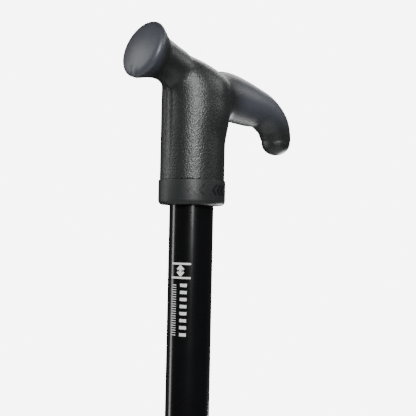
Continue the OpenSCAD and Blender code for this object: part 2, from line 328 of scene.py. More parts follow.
@dataclass(frozen=True)
class SoftTouch(Finish):
    """Moulded soft-touch elastomer with a leather-like grain.

    Attributes:
        grain: Grain cells in a metre.
        grain_mm: Depth of the grain.
        warp: How far the cells are pushed out of their regular places, in metres.
    """

    TONES: ClassVar[Point] = (0.85, 1.2)
    SPREAD: ClassVar[float] = 0.06
    BLOOM: ClassVar[float] = 38.0
    WARP: ClassVar[float] = 420.0

    grain: float = 900.0
    grain_mm: float = 0.07
    warp: float = 0.0016

    def dress(self, graph: Graph, shader: bpy.types.Node, place: bpy.types.NodeSocket) -> None:
        """Add grain and a faint bloom.

        Args:
            graph: The material's graph.
            shader: Its main shader.
            place: The place of a point on the piece.
        """
        bloom = graph.noise(place, self.BLOOM, 4.0)
        relief, pebbles = self.relief(graph, place)
        self.color_by(graph, shader, bloom * 0.6 + pebbles * 0.4)
        self.rough_by(graph, shader, bloom)
        self.emboss(graph, shader, relief, self.grain_mm)

    def relief(self, graph: Graph, place: bpy.types.NodeSocket) -> tuple[Num, Num]:
        """Return the height of the grain, and the pattern of its pebbles.

        Args:
            graph: The material's graph.
            place: The place of a point on the piece.

        Returns:
            The height, and the distance from the middle of a pebble.
        """
        warp = graph.add(
            "ShaderNodeTexNoise", None, {"Vector": place, "Scale": self.WARP, "Detail": 2.0}
        )
        shift = graph.add(
            "ShaderNodeVectorMath",
            {"operation": "SCALE"},
            {0: warp.outputs["Color"], "Scale": self.warp},
        )
        bent = graph.add(
            "ShaderNodeVectorMath", {"operation": "ADD"}, {0: place, 1: shift.outputs[0]}
        )
        pebbles = graph.cells(bent.outputs[0], self.grain)
        fine = graph.noise(place, self.grain * 3.0, 2.0)
        return 1.0 - pebbles * 1.1 + fine * 0.35, pebbles


@dataclass(frozen=True)
class GripSkin(SoftTouch):
    """The grip's skin: grained on the neck; on the disc and the arm, less grain and a painted sheen.

    Lengths are metres in the frame.

    Attributes:
        painted_sheen: Lighter color painted on the disc's and the arm's zones, as painted sheen for the
            light that they catch.
        disc_zone: X at which the disc's zone is full, and at which it has ended.
        arm_zone: X at which the arm's zone starts, and at which it is full.
        nose_zone: Z at which the arm's zone has ended on the nose, and at which it is full.
        parting_y: Y of the mould's parting line.
        parting_x: X at which the parting line is full, and at which it has ended.
        parting_z: Z at which the parting line starts, and at which it is full.
        parting_w: Half width of the parting line.
    """

    painted_sheen: Color = (0.060, 0.066, 0.081)
    disc_zone: Point = (-0.0335, -0.0265)
    arm_zone: Point = (0.016, 0.030)
    nose_zone: Point = (0.806, 0.820)
    parting_y: float = 0.022
    parting_x: Point = (-0.014, -0.011)
    parting_z: Point = (0.790, 0.822)
    parting_w: float = 0.0005

    def dress(self, graph: Graph, shader: bpy.types.Node, place: bpy.types.NodeSocket) -> None:
        """Add grain, the zones with painted sheen, and the parting line with its painted shade.

        Args:
            graph: The material's graph.
            shader: Its main shader.
            place: The place of a point on the piece.
        """
        split = graph.add("ShaderNodeSeparateXYZ", None, {0: place}).outputs
        x, y, z = (Num(graph, socket) for socket in split)
        arm = x.rise(*self.arm_zone) * z.rise(*self.nose_zone)
        zone = (1.0 - x.rise(*self.disc_zone)) + arm
        aside = (y - self.parting_y).math("ABSOLUTE")
        line = 1.0 - aside.rise(self.parting_w, self.parting_w * 2.2)
        line = line * (1.0 - x.rise(*self.parting_x)) * z.rise(*self.parting_z) * (1.0 - zone)
        bloom = graph.noise(place, self.BLOOM, 4.0)
        relief, pebbles = self.relief(graph, place)
        # Painted sheen: the disc's and the arm's zones get a lighter grey for the light that those faces
        # catch.
        tone = graph.blend(zone * (0.75 + bloom * 0.5), self.color, self.painted_sheen)
        # Painted shade: the parting line is darkened in the colour for the shade in its crease; the
        # pebbles tone the grain.
        color = graph.blend(line * 0.8 + pebbles * 0.3, tone, tinted(self.color, 0.3))
        graph.tree.links.new(color, shader.inputs["Base Color"])
        self.rough_by(graph, shader, bloom * 0.6 + zone * 0.25)
        self.emboss(graph, shader, relief * (1.0 - zone * 0.8) - line * 2.5, self.grain_mm)


@dataclass(frozen=True)
class Moulded(Finish):
    """Injection-moulded plastic with a fine spark-eroded texture.

    Attributes:
        texture: Texture features in a metre.
        texture_mm: Depth of the texture.
    """

    TONES: ClassVar[Point] = (0.85, 1.18)
    SPREAD: ClassVar[float] = 0.08
    FLOW: ClassVar[float] = 45.0

    texture: float = 2200.0
    texture_mm: float = 0.02

    def dress(self, graph: Graph, shader: bpy.types.Node, place: bpy.types.NodeSocket) -> None:
        """Add the texture and faint flow marks.

        Args:
            graph: The material's graph.
            shader: Its main shader.
            place: The place of a point on the piece.
        """
        fine = graph.noise(place, self.texture, 2.0)
        flow = graph.noise(place, self.FLOW, 3.0)
        self.color_by(graph, shader, flow)
        self.rough_by(graph, shader, flow * 0.6 + fine * 0.4)
        self.emboss(graph, shader, fine, self.texture_mm)


@dataclass(frozen=True)
class DrawnTube(Finish):
    """Drawn tube, dyed and sealed, with fine lines along its length and handling marks.

    STRETCH draws the lines' pattern out along the tube.

    Attributes:
        lines: Draw lines in a metre of girth.
        line_mm: Depth of the draw lines.
    """

    TONES: ClassVar[Point] = (0.8, 1.3)
    RUB: ClassVar[float] = 90.0
    STRETCH: ClassVar[Point3] = (1.0, 1.0, 0.01)

    lines: float = 1500.0
    line_mm: float = 0.002

    def dress(self, graph: Graph, shader: bpy.types.Node, place: bpy.types.NodeSocket) -> None:
        """Add draw lines and faint rub marks.

        Args:
            graph: The material's graph.
            shader: Its main shader.
            place: The place of a point on the piece.
        """
        along = graph.add("ShaderNodeMapping", None, {"Vector": place, "Scale": self.STRETCH})
        drawn = graph.noise(along.outputs[0], self.lines, 2.0)
        rub = graph.noise(place, self.RUB, 5.0)
        self.color_by(graph, shader, rub)
        self.rough_by(graph, shader, rub * 0.7 + drawn * 0.3)
        self.emboss(graph, shader, drawn, self.line_mm)


@dataclass(frozen=True)
class PowderCoat(Finish):
    """Baked powder coat with a slight orange peel.

    Attributes:
        peel: Peel features in a metre.
        peel_mm: Depth of the peel.
    """

    TONES: ClassVar[Point] = (0.8, 1.3)
    SPREAD: ClassVar[float] = 0.05
    SPECKS: ClassVar[float] = 2600.0

    peel: float = 620.0
    peel_mm: float = 0.02

    def dress(self, graph: Graph, shader: bpy.types.Node, place: bpy.types.NodeSocket) -> None:
        """Add orange peel and fine specks.

        Args:
            graph: The material's graph.
            shader: Its main shader.
            place: The place of a point on the piece.
        """
        peel = graph.noise(place, self.peel, 1.0)
        specks = graph.noise(place, self.SPECKS, 1.0)
        self.color_by(graph, shader, specks)
        self.rough_by(graph, shader, specks)
        self.emboss(graph, shader, peel * 0.8 + specks * 0.2, self.peel_mm)


@dataclass(frozen=True)
class Plated(Finish):
    """Zinc or nickel plated steel with faint cloudy patches.

    Attributes:
        scratch_mm: Depth of the scratches.
    """

    TONES: ClassVar[Point] = (0.88, 1.1)
    SPREAD: ClassVar[float] = 0.08
    CLOUD: ClassVar[float] = 240.0
    SCRATCHES: ClassVar[float] = 3000.0

    scratch_mm: float = 0.004

    def dress(self, graph: Graph, shader: bpy.types.Node, place: bpy.types.NodeSocket) -> None:
        """Add the clouding and fine scratches.

        Args:
            graph: The material's graph.
            shader: Its main shader.
            place: The place of a point on the piece.
        """
        cloud = graph.noise(place, self.CLOUD, 4.0)
        scratch = graph.noise(place, self.SCRATCHES, 2.0)
        self.color_by(graph, shader, cloud)
        self.rough_by(graph, shader, cloud * 0.5 + scratch * 0.5)
        self.emboss(graph, shader, scratch, self.scratch_mm)


@dataclass(frozen=True)
class TipRubber(Finish):
    """Filled rubber, dusty low down where it meets the floor.

    Attributes:
        dust: Color of the dust.
        dust_top: Height at which the dust has faded, in metres.
        skin_mm: Depth of the matte skin's texture.
    """

    SPREAD: ClassVar[float] = 0.07
    PATCHES: ClassVar[float] = 170.0
    SKIN: ClassVar[float] = 1600.0

    dust: Color = (0.16, 0.15, 0.14)
    dust_top: float = 0.016
    skin_mm: float = 0.03

    def dress(self, graph: Graph, shader: bpy.types.Node, place: bpy.types.NodeSocket) -> None:
        """Add the dust and a matte skin.

        Args:
            graph: The material's graph.
            shader: Its main shader.
            place: The place of a point on the piece.
        """
        height = Num(graph, graph.add("ShaderNodeSeparateXYZ", None, {0: place}).outputs["Z"])
        patches = graph.noise(place, self.PATCHES, 5.0)
        low = (1.0 - height.rise(0.0, self.dust_top)) * patches.rise(0.35, 0.75) * 0.55
        skin = graph.noise(place, self.SKIN, 2.0)
        mixed = graph.blend(low + skin * 0.04, self.color, self.dust)
        graph.tree.links.new(mixed, shader.inputs["Base Color"])
        self.rough_by(graph, shader, skin)
        self.emboss(graph, shader, skin, self.skin_mm)


FINISHES: dict[str, Finish] = {
    "soft_grip": GripSkin(
        "soft_touch_grip", (0.013, 0.0146, 0.0148), 0.43, specular=0.6, grain=1250.0, grain_mm=0.09
    ),
    "core_nylon": Moulded("core_nylon_black", (0.03, 0.03, 0.033), 0.6),
    "collar_plastic": SoftTouch(
        "collar_plastic_satin",
        (0.014, 0.0165, 0.0165),
        0.46,
        grain=1500.0,
        grain_mm=0.03,
        specular=0.45,
    ),
    "black_tube": DrawnTube(
        "black_gloss_tube", (0.003, 0.0031, 0.0036), 0.2, coat=0.15, coat_roughness=0.1
    ),
    "black_nylon": Moulded("nylon_black", (0.022, 0.022, 0.024), 0.52),
    "nut_plastic": Moulded(
        "lock_nut_plastic", (0.026, 0.026, 0.028), 0.45, texture=1700.0, texture_mm=0.03
    ),
    "natural_nylon": Moulded("nylon_natural", (0.72, 0.69, 0.61), 0.42, texture_mm=0.01),
    "button_steel": Plated("button_nickel", (0.78, 0.77, 0.74), 0.16, metallic=1.0),
    "spring_steel": Plated("spring_steel", (0.42, 0.43, 0.46), 0.3, metallic=1.0),
    "zinc_steel": Plated("zinc_plated_steel", (0.62, 0.63, 0.65), 0.28, metallic=1.0),
    "black_steel": PowderCoat(
        "powder_coat_black", (0.016, 0.016, 0.018), 0.36, coat=0.15, coat_roughness=0.2
    ),
    "tip_rubber": TipRubber("tip_rubber", (0.030, 0.030, 0.031), 0.72, specular=0.35),
}
PRINT_INK = Finish("print_ink_white", (0.80, 0.80, 0.78), 0.45)
# Painted shade: the collar's chevrons are coloured darker than the collar for the shade in their relief.
CHEVRON_PAINTED_SHADE = Finish("collar_chevron_painted_shade", (0.006, 0.0065, 0.0065), 0.4)
FLOOR_PAINT = Finish("studio_floor", (0.86, 0.86, 0.86), 0.6)


class Wardrobe:
    """Makes each finish's material once."""

    def __init__(self) -> None:
        """Start with no materials."""
        self._made: dict[str, bpy.types.Material] = {}

    def of(self, finish: Finish) -> bpy.types.Material:
        """Return the material of a finish."""
        if finish.name not in self._made:
            self._made[finish.name] = finish.material()
        return self._made[finish.name]

    def slot(self, name: str) -> bpy.types.Material:
        """Return the material of a record's material slot."""
        return self.of(FINISHES[name])


# ---------------------------------------------------------------------------
# Meshes
# ---------------------------------------------------------------------------


class Body(Enum):
    """The rigid bodies that pieces ride on."""

    BASE = "base"
    UPPER = "upper"
    NUT = "lock_nut"
    BUTTON = "button"


@dataclass(frozen=True)
class Shell:
    """Vertices, in millimetres, and faces of a closed mesh."""

    points: np.ndarray
    faces: list[tuple[int, ...]]

    def moved(self, matrix: Matrix) -> "Shell":
        """Return the shell moved by a matrix whose lengths are millimetres."""
        m = np.array(matrix)
        return Shell(self.points @ m[:3, :3].T + m[:3, 3], self.faces)


def lathe(profile: Sequence[Point], segments: int = 72) -> Shell:
    """Turn a profile round the Z axis.

    Args:
        profile: [radius, height] points round a closed outline, in millimetres, counter-clockwise
            when the radius points right. Points on the axis become poles.
        segments: Number of steps round the axis.

    Returns:
        The closed shell.
    """
    points: list[Point3] = []
    rows: list[list[int]] = []
    for radius, height in profile:
        if radius < TINY:
            rows.append([len(points)] * segments)
            points.append((0.0, 0.0, height))
            continue
        rows.append(list(range(len(points), len(points) + segments)))
        for k in range(segments):
            angle = 2 * math.pi * k / segments
            points.append((radius * math.cos(angle), radius * math.sin(angle), height))
    faces: list[tuple[int, ...]] = []
    for low, high in zip(rows, rows[1:] + rows[:1]):
        if low[0] == low[1] and high[0] == high[1]:
            continue
        for k in range(segments):
            j = (k + 1) % segments
            ring = [low[k], low[j], high[j], high[k]]
            faces.append(tuple(dict.fromkeys(ring)))
    return Shell(np.array(points), faces)


def rounded(profile: Sequence[Point3], steps: int = 6) -> list[Point]:
    """Round the corners of a closed outline. A round takes up less than half of a side.

    Args:
        profile: [x, y, radius] corners. A radius of 0 keeps the corner sharp.
        steps: Points added on each round.

    Returns:
        The outline's points.
    """
    out: list[Point] = []
    n = len(profile)
    for i, (x, y, radius) in enumerate(profile):
        here = np.array([x, y])
        before = np.array(profile[i - 1][:2]) - here
        after = np.array(profile[(i + 1) % n][:2]) - here
        reach = min(np.linalg.norm(before), np.linalg.norm(after)) * ROUND_SHARE
        if radius <= 0:
            out.append((x, y))
            continue
        before, after = before / np.linalg.norm(before), after / np.linalg.norm(after)
        half = math.acos(float(np.clip(before @ after, -1, 1))) / 2
        cut = min(radius / math.tan(half), reach)
        start, end = here + before * cut, here + after * cut
        for k in range(steps + 1):
            t = k / steps
            arc = start * (1 - t) ** 2 + here * 2 * t * (1 - t) + end * t * t
            out.append((float(arc[0]), float(arc[1])))
    return out


@dataclass
class Workshop:
    """Turns shells into finished pieces that ride on the frame's bodies.

    Attributes:
        wardrobe: Where materials come from.
        pieces: The pieces made so far.
    """

    wardrobe: Wardrobe
    pieces: list[bpy.types.Object] = field(default_factory=list)

    def mesh(self, name: str, shell: Shell) -> bpy.types.Mesh:
        """Make a Blender mesh, in metres, from a shell.

        Args:
            name: The mesh's name.
            shell: Its points and faces.

        Returns:
            The mesh.
        """
        made = bpy.data.meshes.new(name)
        made.from_pydata((shell.points * MM).tolist(), [], shell.faces)
        made.update()
        return made

    def piece(
        self,
        name: str,
        mesh: bpy.types.Mesh | Shell,
        body: Body,
        slot: str,
        replaces: Iterable[str] = (),
        finish: Finish | None = None,
        crease_deg: float = 32.0,
    ) -> bpy.types.Object:
        """Make a finished piece and hang it on its body.

        Args:
            name: The piece's name.
            mesh: Its mesh, in metres, or its shell, in millimetres, in the frame.
            body: The body that it rides on.
            slot: The record's material slot that it belongs to.
            replaces: The CAD nodes that it stands for.
            finish: Its finish, if that isn't the slot's own.
            crease_deg: Edges that turn more than this stay sharp.

        Returns:
            The piece.
        """
        if isinstance(mesh, Shell):
            mesh = self.mesh(name, mesh)
        made = bpy.data.objects.new(name, mesh)
        bpy.context.scene.collection.objects.link(made)
        mesh.materials.clear()
        mesh.materials.append(self.wardrobe.of(finish) if finish else self.wardrobe.slot(slot))
        mesh.polygons.foreach_set("material_index", [0] * len(mesh.polygons))
        self.shade(mesh, crease_deg)
        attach(made, body.value)
        for node in replaces:
            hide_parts(node)
        self.pieces.append(made)
        log.info("%s: %d faces on %s", name, len(mesh.polygons), body.value)
        return made

    @staticmethod
    def shade(mesh: bpy.types.Mesh, crease_deg: float) -> None:
        """Shade a mesh smooth, except over its sharp edges.

        Args:
            mesh: The mesh.
            crease_deg: Edges that turn more than this stay sharp.
        """
        work = bmesh.new()
        work.from_mesh(mesh)
        for one in work.faces:
            one.smooth = True
        for edge in work.edges:
            sharp = len(edge.link_faces) != 2 or edge.calc_face_angle(0.0) > math.radians(crease_deg)
            edge.smooth = not sharp
        work.to_mesh(mesh)
        work.free()

    def dress_frame(self) -> None:
        """Give every CAD node the finish of its material slot."""
        for part in frame["record"]["subparts"]:
            node = frame["nodes"][part["node"]]
            material = self.wardrobe.slot(part["material_slot"])
            for holder in node.material_slots:
                holder.material = material
            log.info("%s: finish %s", node.name, material.name)


# ---------------------------------------------------------------------------
# Geometry Nodes recipes
# ---------------------------------------------------------------------------


class Recipe:
    """A Geometry Nodes tree with named inputs. Running it gives a plain mesh."""

    KINDS: ClassVar[dict[type, str]] = {
        int: "NodeSocketInt",
        float: "NodeSocketFloat",
        tuple: "NodeSocketVector",
    }

    def __init__(self, name: str, **defaults: Any) -> None:
        """Make the tree and its inputs.

        Args:
            name: The tree's name.
            defaults: Input names and their default values.
        """
        self.tree = bpy.data.node_groups.new(name, "GeometryNodeTree")
        self.tree.interface.new_socket("Geometry", in_out="OUTPUT", socket_type="NodeSocketGeometry")
        self.sockets: dict[str, str] = {}
        for key, value in defaults.items():
            item = self.tree.interface.new_socket(key, in_out="INPUT", socket_type=self.KINDS[type(value)])
            item.default_value = value
            self.sockets[key] = item.identifier
        self.graph = Graph(self.tree)
        self.inputs = self.graph.add("NodeGroupInput")

    def __getitem__(self, key: str) -> Num:
        """Return a named input as a number."""
        return Num(self.graph, self.inputs.outputs[key])

    def combine(self, x: Any = 0.0, y: Any = 0.0, z: Any = 0.0) -> bpy.types.NodeSocket:
        """Make a vector of three numbers."""
        return self.graph.add("ShaderNodeCombineXYZ", None, {"X": x, "Y": y, "Z": z}).outputs[0]

    def split(self, vector: bpy.types.NodeSocket) -> tuple[Num, Num, Num]:
        """Take a vector apart into three numbers."""
        node = self.graph.add("ShaderNodeSeparateXYZ", None, {0: vector})
        return tuple(Num(self.graph, socket) for socket in node.outputs)

    def place(self) -> tuple[Num, Num, Num]:
        """Return each point's position as three numbers."""
        return self.split(self.graph.add("GeometryNodeInputPosition").outputs[0])

    def finish(self, geometry: bpy.types.NodeSocket, material: bpy.types.Material) -> None:
        """End the tree: turn instances into a mesh and set its material.

        Args:
            geometry: What the tree has made.
            material: Its material.
        """
        real = self.graph.add("GeometryNodeRealizeInstances", None, {"Geometry": geometry})
        dressed = self.graph.add(
            "GeometryNodeSetMaterial", None, {"Geometry": real.outputs[0], "Material": material}
        )
        self.graph.add("NodeGroupOutput", None, {"Geometry": dressed.outputs[0]})

    def run(self, name: str, **values: Any) -> bpy.types.Mesh:
        """Run the tree once.

        Args:
            name: The new mesh's name.
            values: Values for the named inputs.

        Returns:
            The plain mesh, in metres.
        """
        holder = bpy.data.objects.new(name, bpy.data.meshes.new(name + "_seed"))
        bpy.context.scene.collection.objects.link(holder)
        modifier = holder.modifiers.new(name, "NODES")
        modifier.node_group = self.tree
        for key, value in values.items():
            modifier[self.sockets[key]] = value
        graph = bpy.context.evaluated_depsgraph_get()
        mesh = bpy.data.meshes.new_from_object(holder.evaluated_get(graph), depsgraph=graph)
        holder.modifiers.clear()
        bpy.data.objects.remove(holder)
        mesh.name = name
        return mesh


def rib_ring(material: bpy.types.Material) -> Recipe:
    """Build the recipe of upright rounded ribs that stand in a ring.

    Its inputs are Count, Radius, Size (half sizes: outwards, across, up) and Centre, in metres.

    Args:
        material: The ribs' material.

    Returns:
        The recipe.
    """
    recipe = Recipe(
        "rib_ring",
        Count=24,
        Radius=0.016,
        Size=(0.001, 0.001, 0.01),
        Centre=(0.0, 0.0, 0.0),
    )
    add = recipe.graph.add
    ring = add(
        "GeometryNodeMeshCircle",
        {"fill_type": "NONE"},
        {"Vertices": recipe["Count"], "Radius": recipe["Radius"]},
    )
    point = add("GeometryNodeInputPosition").outputs[0]
    facing = add("FunctionNodeAlignRotationToVector", {"axis": "X"}, {"Vector": point})
    rib = add("GeometryNodeMeshUVSphere", None, {"Segments": 12, "Rings": 8, "Radius": 1.0})
    ribs = add(
        "GeometryNodeInstanceOnPoints",
        None,
        {
            "Points": ring.outputs["Mesh"],
            "Instance": rib.outputs["Mesh"],
            "Rotation": facing.outputs[0],
            "Scale": recipe["Size"],
        },
    )
    moved = add(
        "GeometryNodeTransform", None, {"Geometry": ribs.outputs[0], "Translation": recipe["Centre"]}
    )
    recipe.finish(moved.outputs[0], material)
    return recipe


def wrapped_marks(material: bpy.types.Material) -> Recipe:
    """Build the recipe of a row of bars that is wrapped round an upright tube.

    Its inputs are Count, Start and Step (along the girth, outwards, up), Size of a bar, Tilt, the
    tube's Radius, Turn about its axis, and Centre, in metres and radians.

    Args:
        material: The bars' material.

    Returns:
        The recipe.
    """
    recipe = Recipe(
        "wrapped_marks",
        Count=5,
        Start=(0.0, 0.0, 0.0),
        Step=(0.0, 0.0, 0.002),
        Size=(0.002, 0.0001, 0.0005),
        Tilt=0.0,
        Radius=0.011,
        Turn=0.0,
        Centre=(0.0, 0.0, 0.0),
    )
    add = recipe.graph.add
    row = add(
        "GeometryNodeMeshLine",
        {"mode": "OFFSET", "count_mode": "TOTAL"},
        {"Count": recipe["Count"], "Start Location": recipe["Start"], "Offset": recipe["Step"]},
    )
    bar = add(
        "GeometryNodeMeshCube",
        None,
        {"Size": recipe["Size"], "Vertices X": 9, "Vertices Y": 2, "Vertices Z": 3},
    )
    tilt = recipe.combine(y=recipe["Tilt"])
    bars = add(
        "GeometryNodeInstanceOnPoints",
        None,
        {"Points": row.outputs[0], "Instance": bar.outputs["Mesh"], "Rotation": tilt},
    )
    flat = add("GeometryNodeRealizeInstances", None, {"Geometry": bars.outputs[0]})
    girth, outwards, up = recipe.place()
    angle = girth / recipe["Radius"] + recipe["Turn"]
    reach = outwards + recipe["Radius"]
    around = recipe.combine(angle.math("COSINE") * reach, angle.math("SINE") * reach, up)
    bent = add("GeometryNodeSetPosition", None, {"Geometry": flat.outputs[0], "Position": around})
    flipped = add("GeometryNodeFlipFaces", None, {"Mesh": bent.outputs[0]})
    moved = add(
        "GeometryNodeTransform",
        None,
        {"Geometry": flipped.outputs[0], "Translation": recipe["Centre"]},
    )
    recipe.finish(moved.outputs[0], material)
    return recipe


def weld_bead(material: bpy.types.Material) -> Recipe:
    """Build the recipe of a weld where a sloping tube meets an upright one.

    The bead is a chain of overlapping ripples along the line in which the two tubes meet. Its inputs
    are Count, Ripple (a ripple's radius), Leg and Post (the tubes' radii), Slope, Top (where the leg's
    axis meets the post's), Turn, Centre and the ripples' random Seed, in metres and radians.

    Args:
        material: The bead's material.

    Returns:
        The recipe.
    """
    recipe = Recipe(
        "weld_bead",
        Count=40,
        Ripple=0.0016,
        Leg=0.008,
        Post=0.014,
        Slope=0.38,
        Top=0.12,
        Turn=0.0,
        Centre=(0.0, 0.0, 0.0),
        Seed=7,
    )
    add = recipe.graph.add
    ring = add(
        "GeometryNodeMeshCircle",
        {"fill_type": "NONE"},
        {"Vertices": recipe["Count"], "Radius": recipe["Leg"]},
    )
    across, rise, _ = recipe.place()
    out = (recipe["Post"] * recipe["Post"] - across * across).math("SQRT")
    slope = recipe["Slope"]
    up = rise / slope.math("COSINE") - out * slope.math("TANGENT") + recipe["Top"]
    meeting = recipe.combine(out, across, up)
    joint = add("GeometryNodeSetPosition", None, {"Geometry": ring.outputs[0], "Position": meeting})
    ripple = add("GeometryNodeMeshIcoSphere", None, {"Radius": recipe["Ripple"], "Subdivisions": 2})
    size = add(
        "FunctionNodeRandomValue",
        {"data_type": "FLOAT_VECTOR"},
        {"Min": (0.8, 0.8, 0.8), "Max": (1.15, 1.15, 1.1), "Seed": recipe["Seed"]},
    )
    chain = add(
        "GeometryNodeInstanceOnPoints",
        None,
        {"Points": joint.outputs[0], "Instance": ripple.outputs["Mesh"], "Scale": size.outputs[0]},
    )
    turned = add(
        "GeometryNodeTransform",
        None,
        {
            "Geometry": chain.outputs[0],
            "Rotation": recipe.combine(z=recipe["Turn"]),
            "Translation": recipe["Centre"],
        },
    )
    recipe.finish(turned.outputs[0], material)
    return recipe


# ---------------------------------------------------------------------------
# The grip's form
# ---------------------------------------------------------------------------


def melt(a: np.ndarray, b: np.ndarray, radius: float) -> np.ndarray:
    """Join two distance fields with a fillet of about the given radius."""
    h = np.clip(0.5 + 0.5 * (b - a) / radius, 0, 1)
    return b * (1 - h) + a * h - radius * h * (1 - h)


def ease(low: float, high: float, x: np.ndarray) -> np.ndarray:
    """Rise smoothly from 0 at low to 1 at high."""
    t = np.clip((x - low) / (high - low), 0, 1)
    return t * t * (3 - 2 * t)


class Bar:
    """A bar of changing oval section along a curved spine in the XZ plane.

    Attributes:
        STEPS: Samples between two stations.
        BATCH: Points whose distance is found at once.
    """

    STEPS: ClassVar[int] = 14
    BATCH: ClassVar[int] = 40000

    def __init__(self, stations: Sequence[Station], nose: float) -> None:
        """Sample the spine.

        Args:
            stations: [x, z, half height, half width] along the spine. The first and last only steer
                the curve.
            nose: Length of the rounded end.
        """
        given = np.array(stations)
        t = (np.arange(self.STEPS) / self.STEPS)[:, None]
        runs = [self._run(*given[i - 1 : i + 3], t) for i in range(1, len(given) - 2)]
        samples = np.vstack([*runs, given[-2][None]])
        self.spine = samples[:, :2]
        self.half = samples[:, 2:]
        steps = np.gradient(self.spine, axis=0)
        self.step = np.linalg.norm(steps, axis=1)
        self.heading = steps / self.step[:, None]
        self.nose = nose

    @staticmethod
    def _run(
        a: np.ndarray, b: np.ndarray, c: np.ndarray, d: np.ndarray, t: np.ndarray
    ) -> np.ndarray:
        """Return points on a smooth curve from b to c, the Catmull-Rom spline."""
        square, cube = 2 * a - 5 * b + 4 * c - d, 3 * b - 3 * c + d - a
        return 0.5 * (2 * b + (c - a) * t + square * t**2 + cube * t**3)

    def distance(self, p: np.ndarray) -> np.ndarray:
        """Return the rough distance from the bar's surface, negative inside it."""
        parts = [self._distance(part) for part in np.array_split(p, len(p) // self.BATCH + 1)]
        return np.concatenate(parts)

    def _distance(self, p: np.ndarray) -> np.ndarray:
        """Return the distance for a few points at once.

        Args:
            p: The points, [x, y, z].

        Returns:
            The distance of each.
        """
        plane = p[:, [0, 2]]
        last = len(self.spine) - 1
        near = ((plane[:, None] - self.spine[None]) ** 2).sum(2).argmin(1)
        ahead = ((plane - self.spine[near]) * self.heading[near]).sum(1)
        along = near + ahead / self.step[near]
        past = np.maximum(along - last, 0) * self.step[-1] / self.nose
        past += np.maximum(-along, 0) * self.step[0] / self.nose
        along = np.clip(along, 0, last)
        i = np.minimum(along.astype(int), last - 1)
        u = (along - i)[:, None]
        centre = self.spine[i] * (1 - u) + self.spine[i + 1] * u
        heading = self.heading[i] * (1 - u) + self.heading[i + 1] * u
        half = self.half[i] * (1 - u) + self.half[i + 1] * u
        offset = plane - centre
        height = -offset[:, 0] * heading[:, 1] + offset[:, 1] * heading[:, 0]
        q = np.sqrt((height / half[:, 0]) ** 2 + (p[:, 1] / half[:, 1]) ** 2 + past**2)
        return (q - 1) * half.min(1)


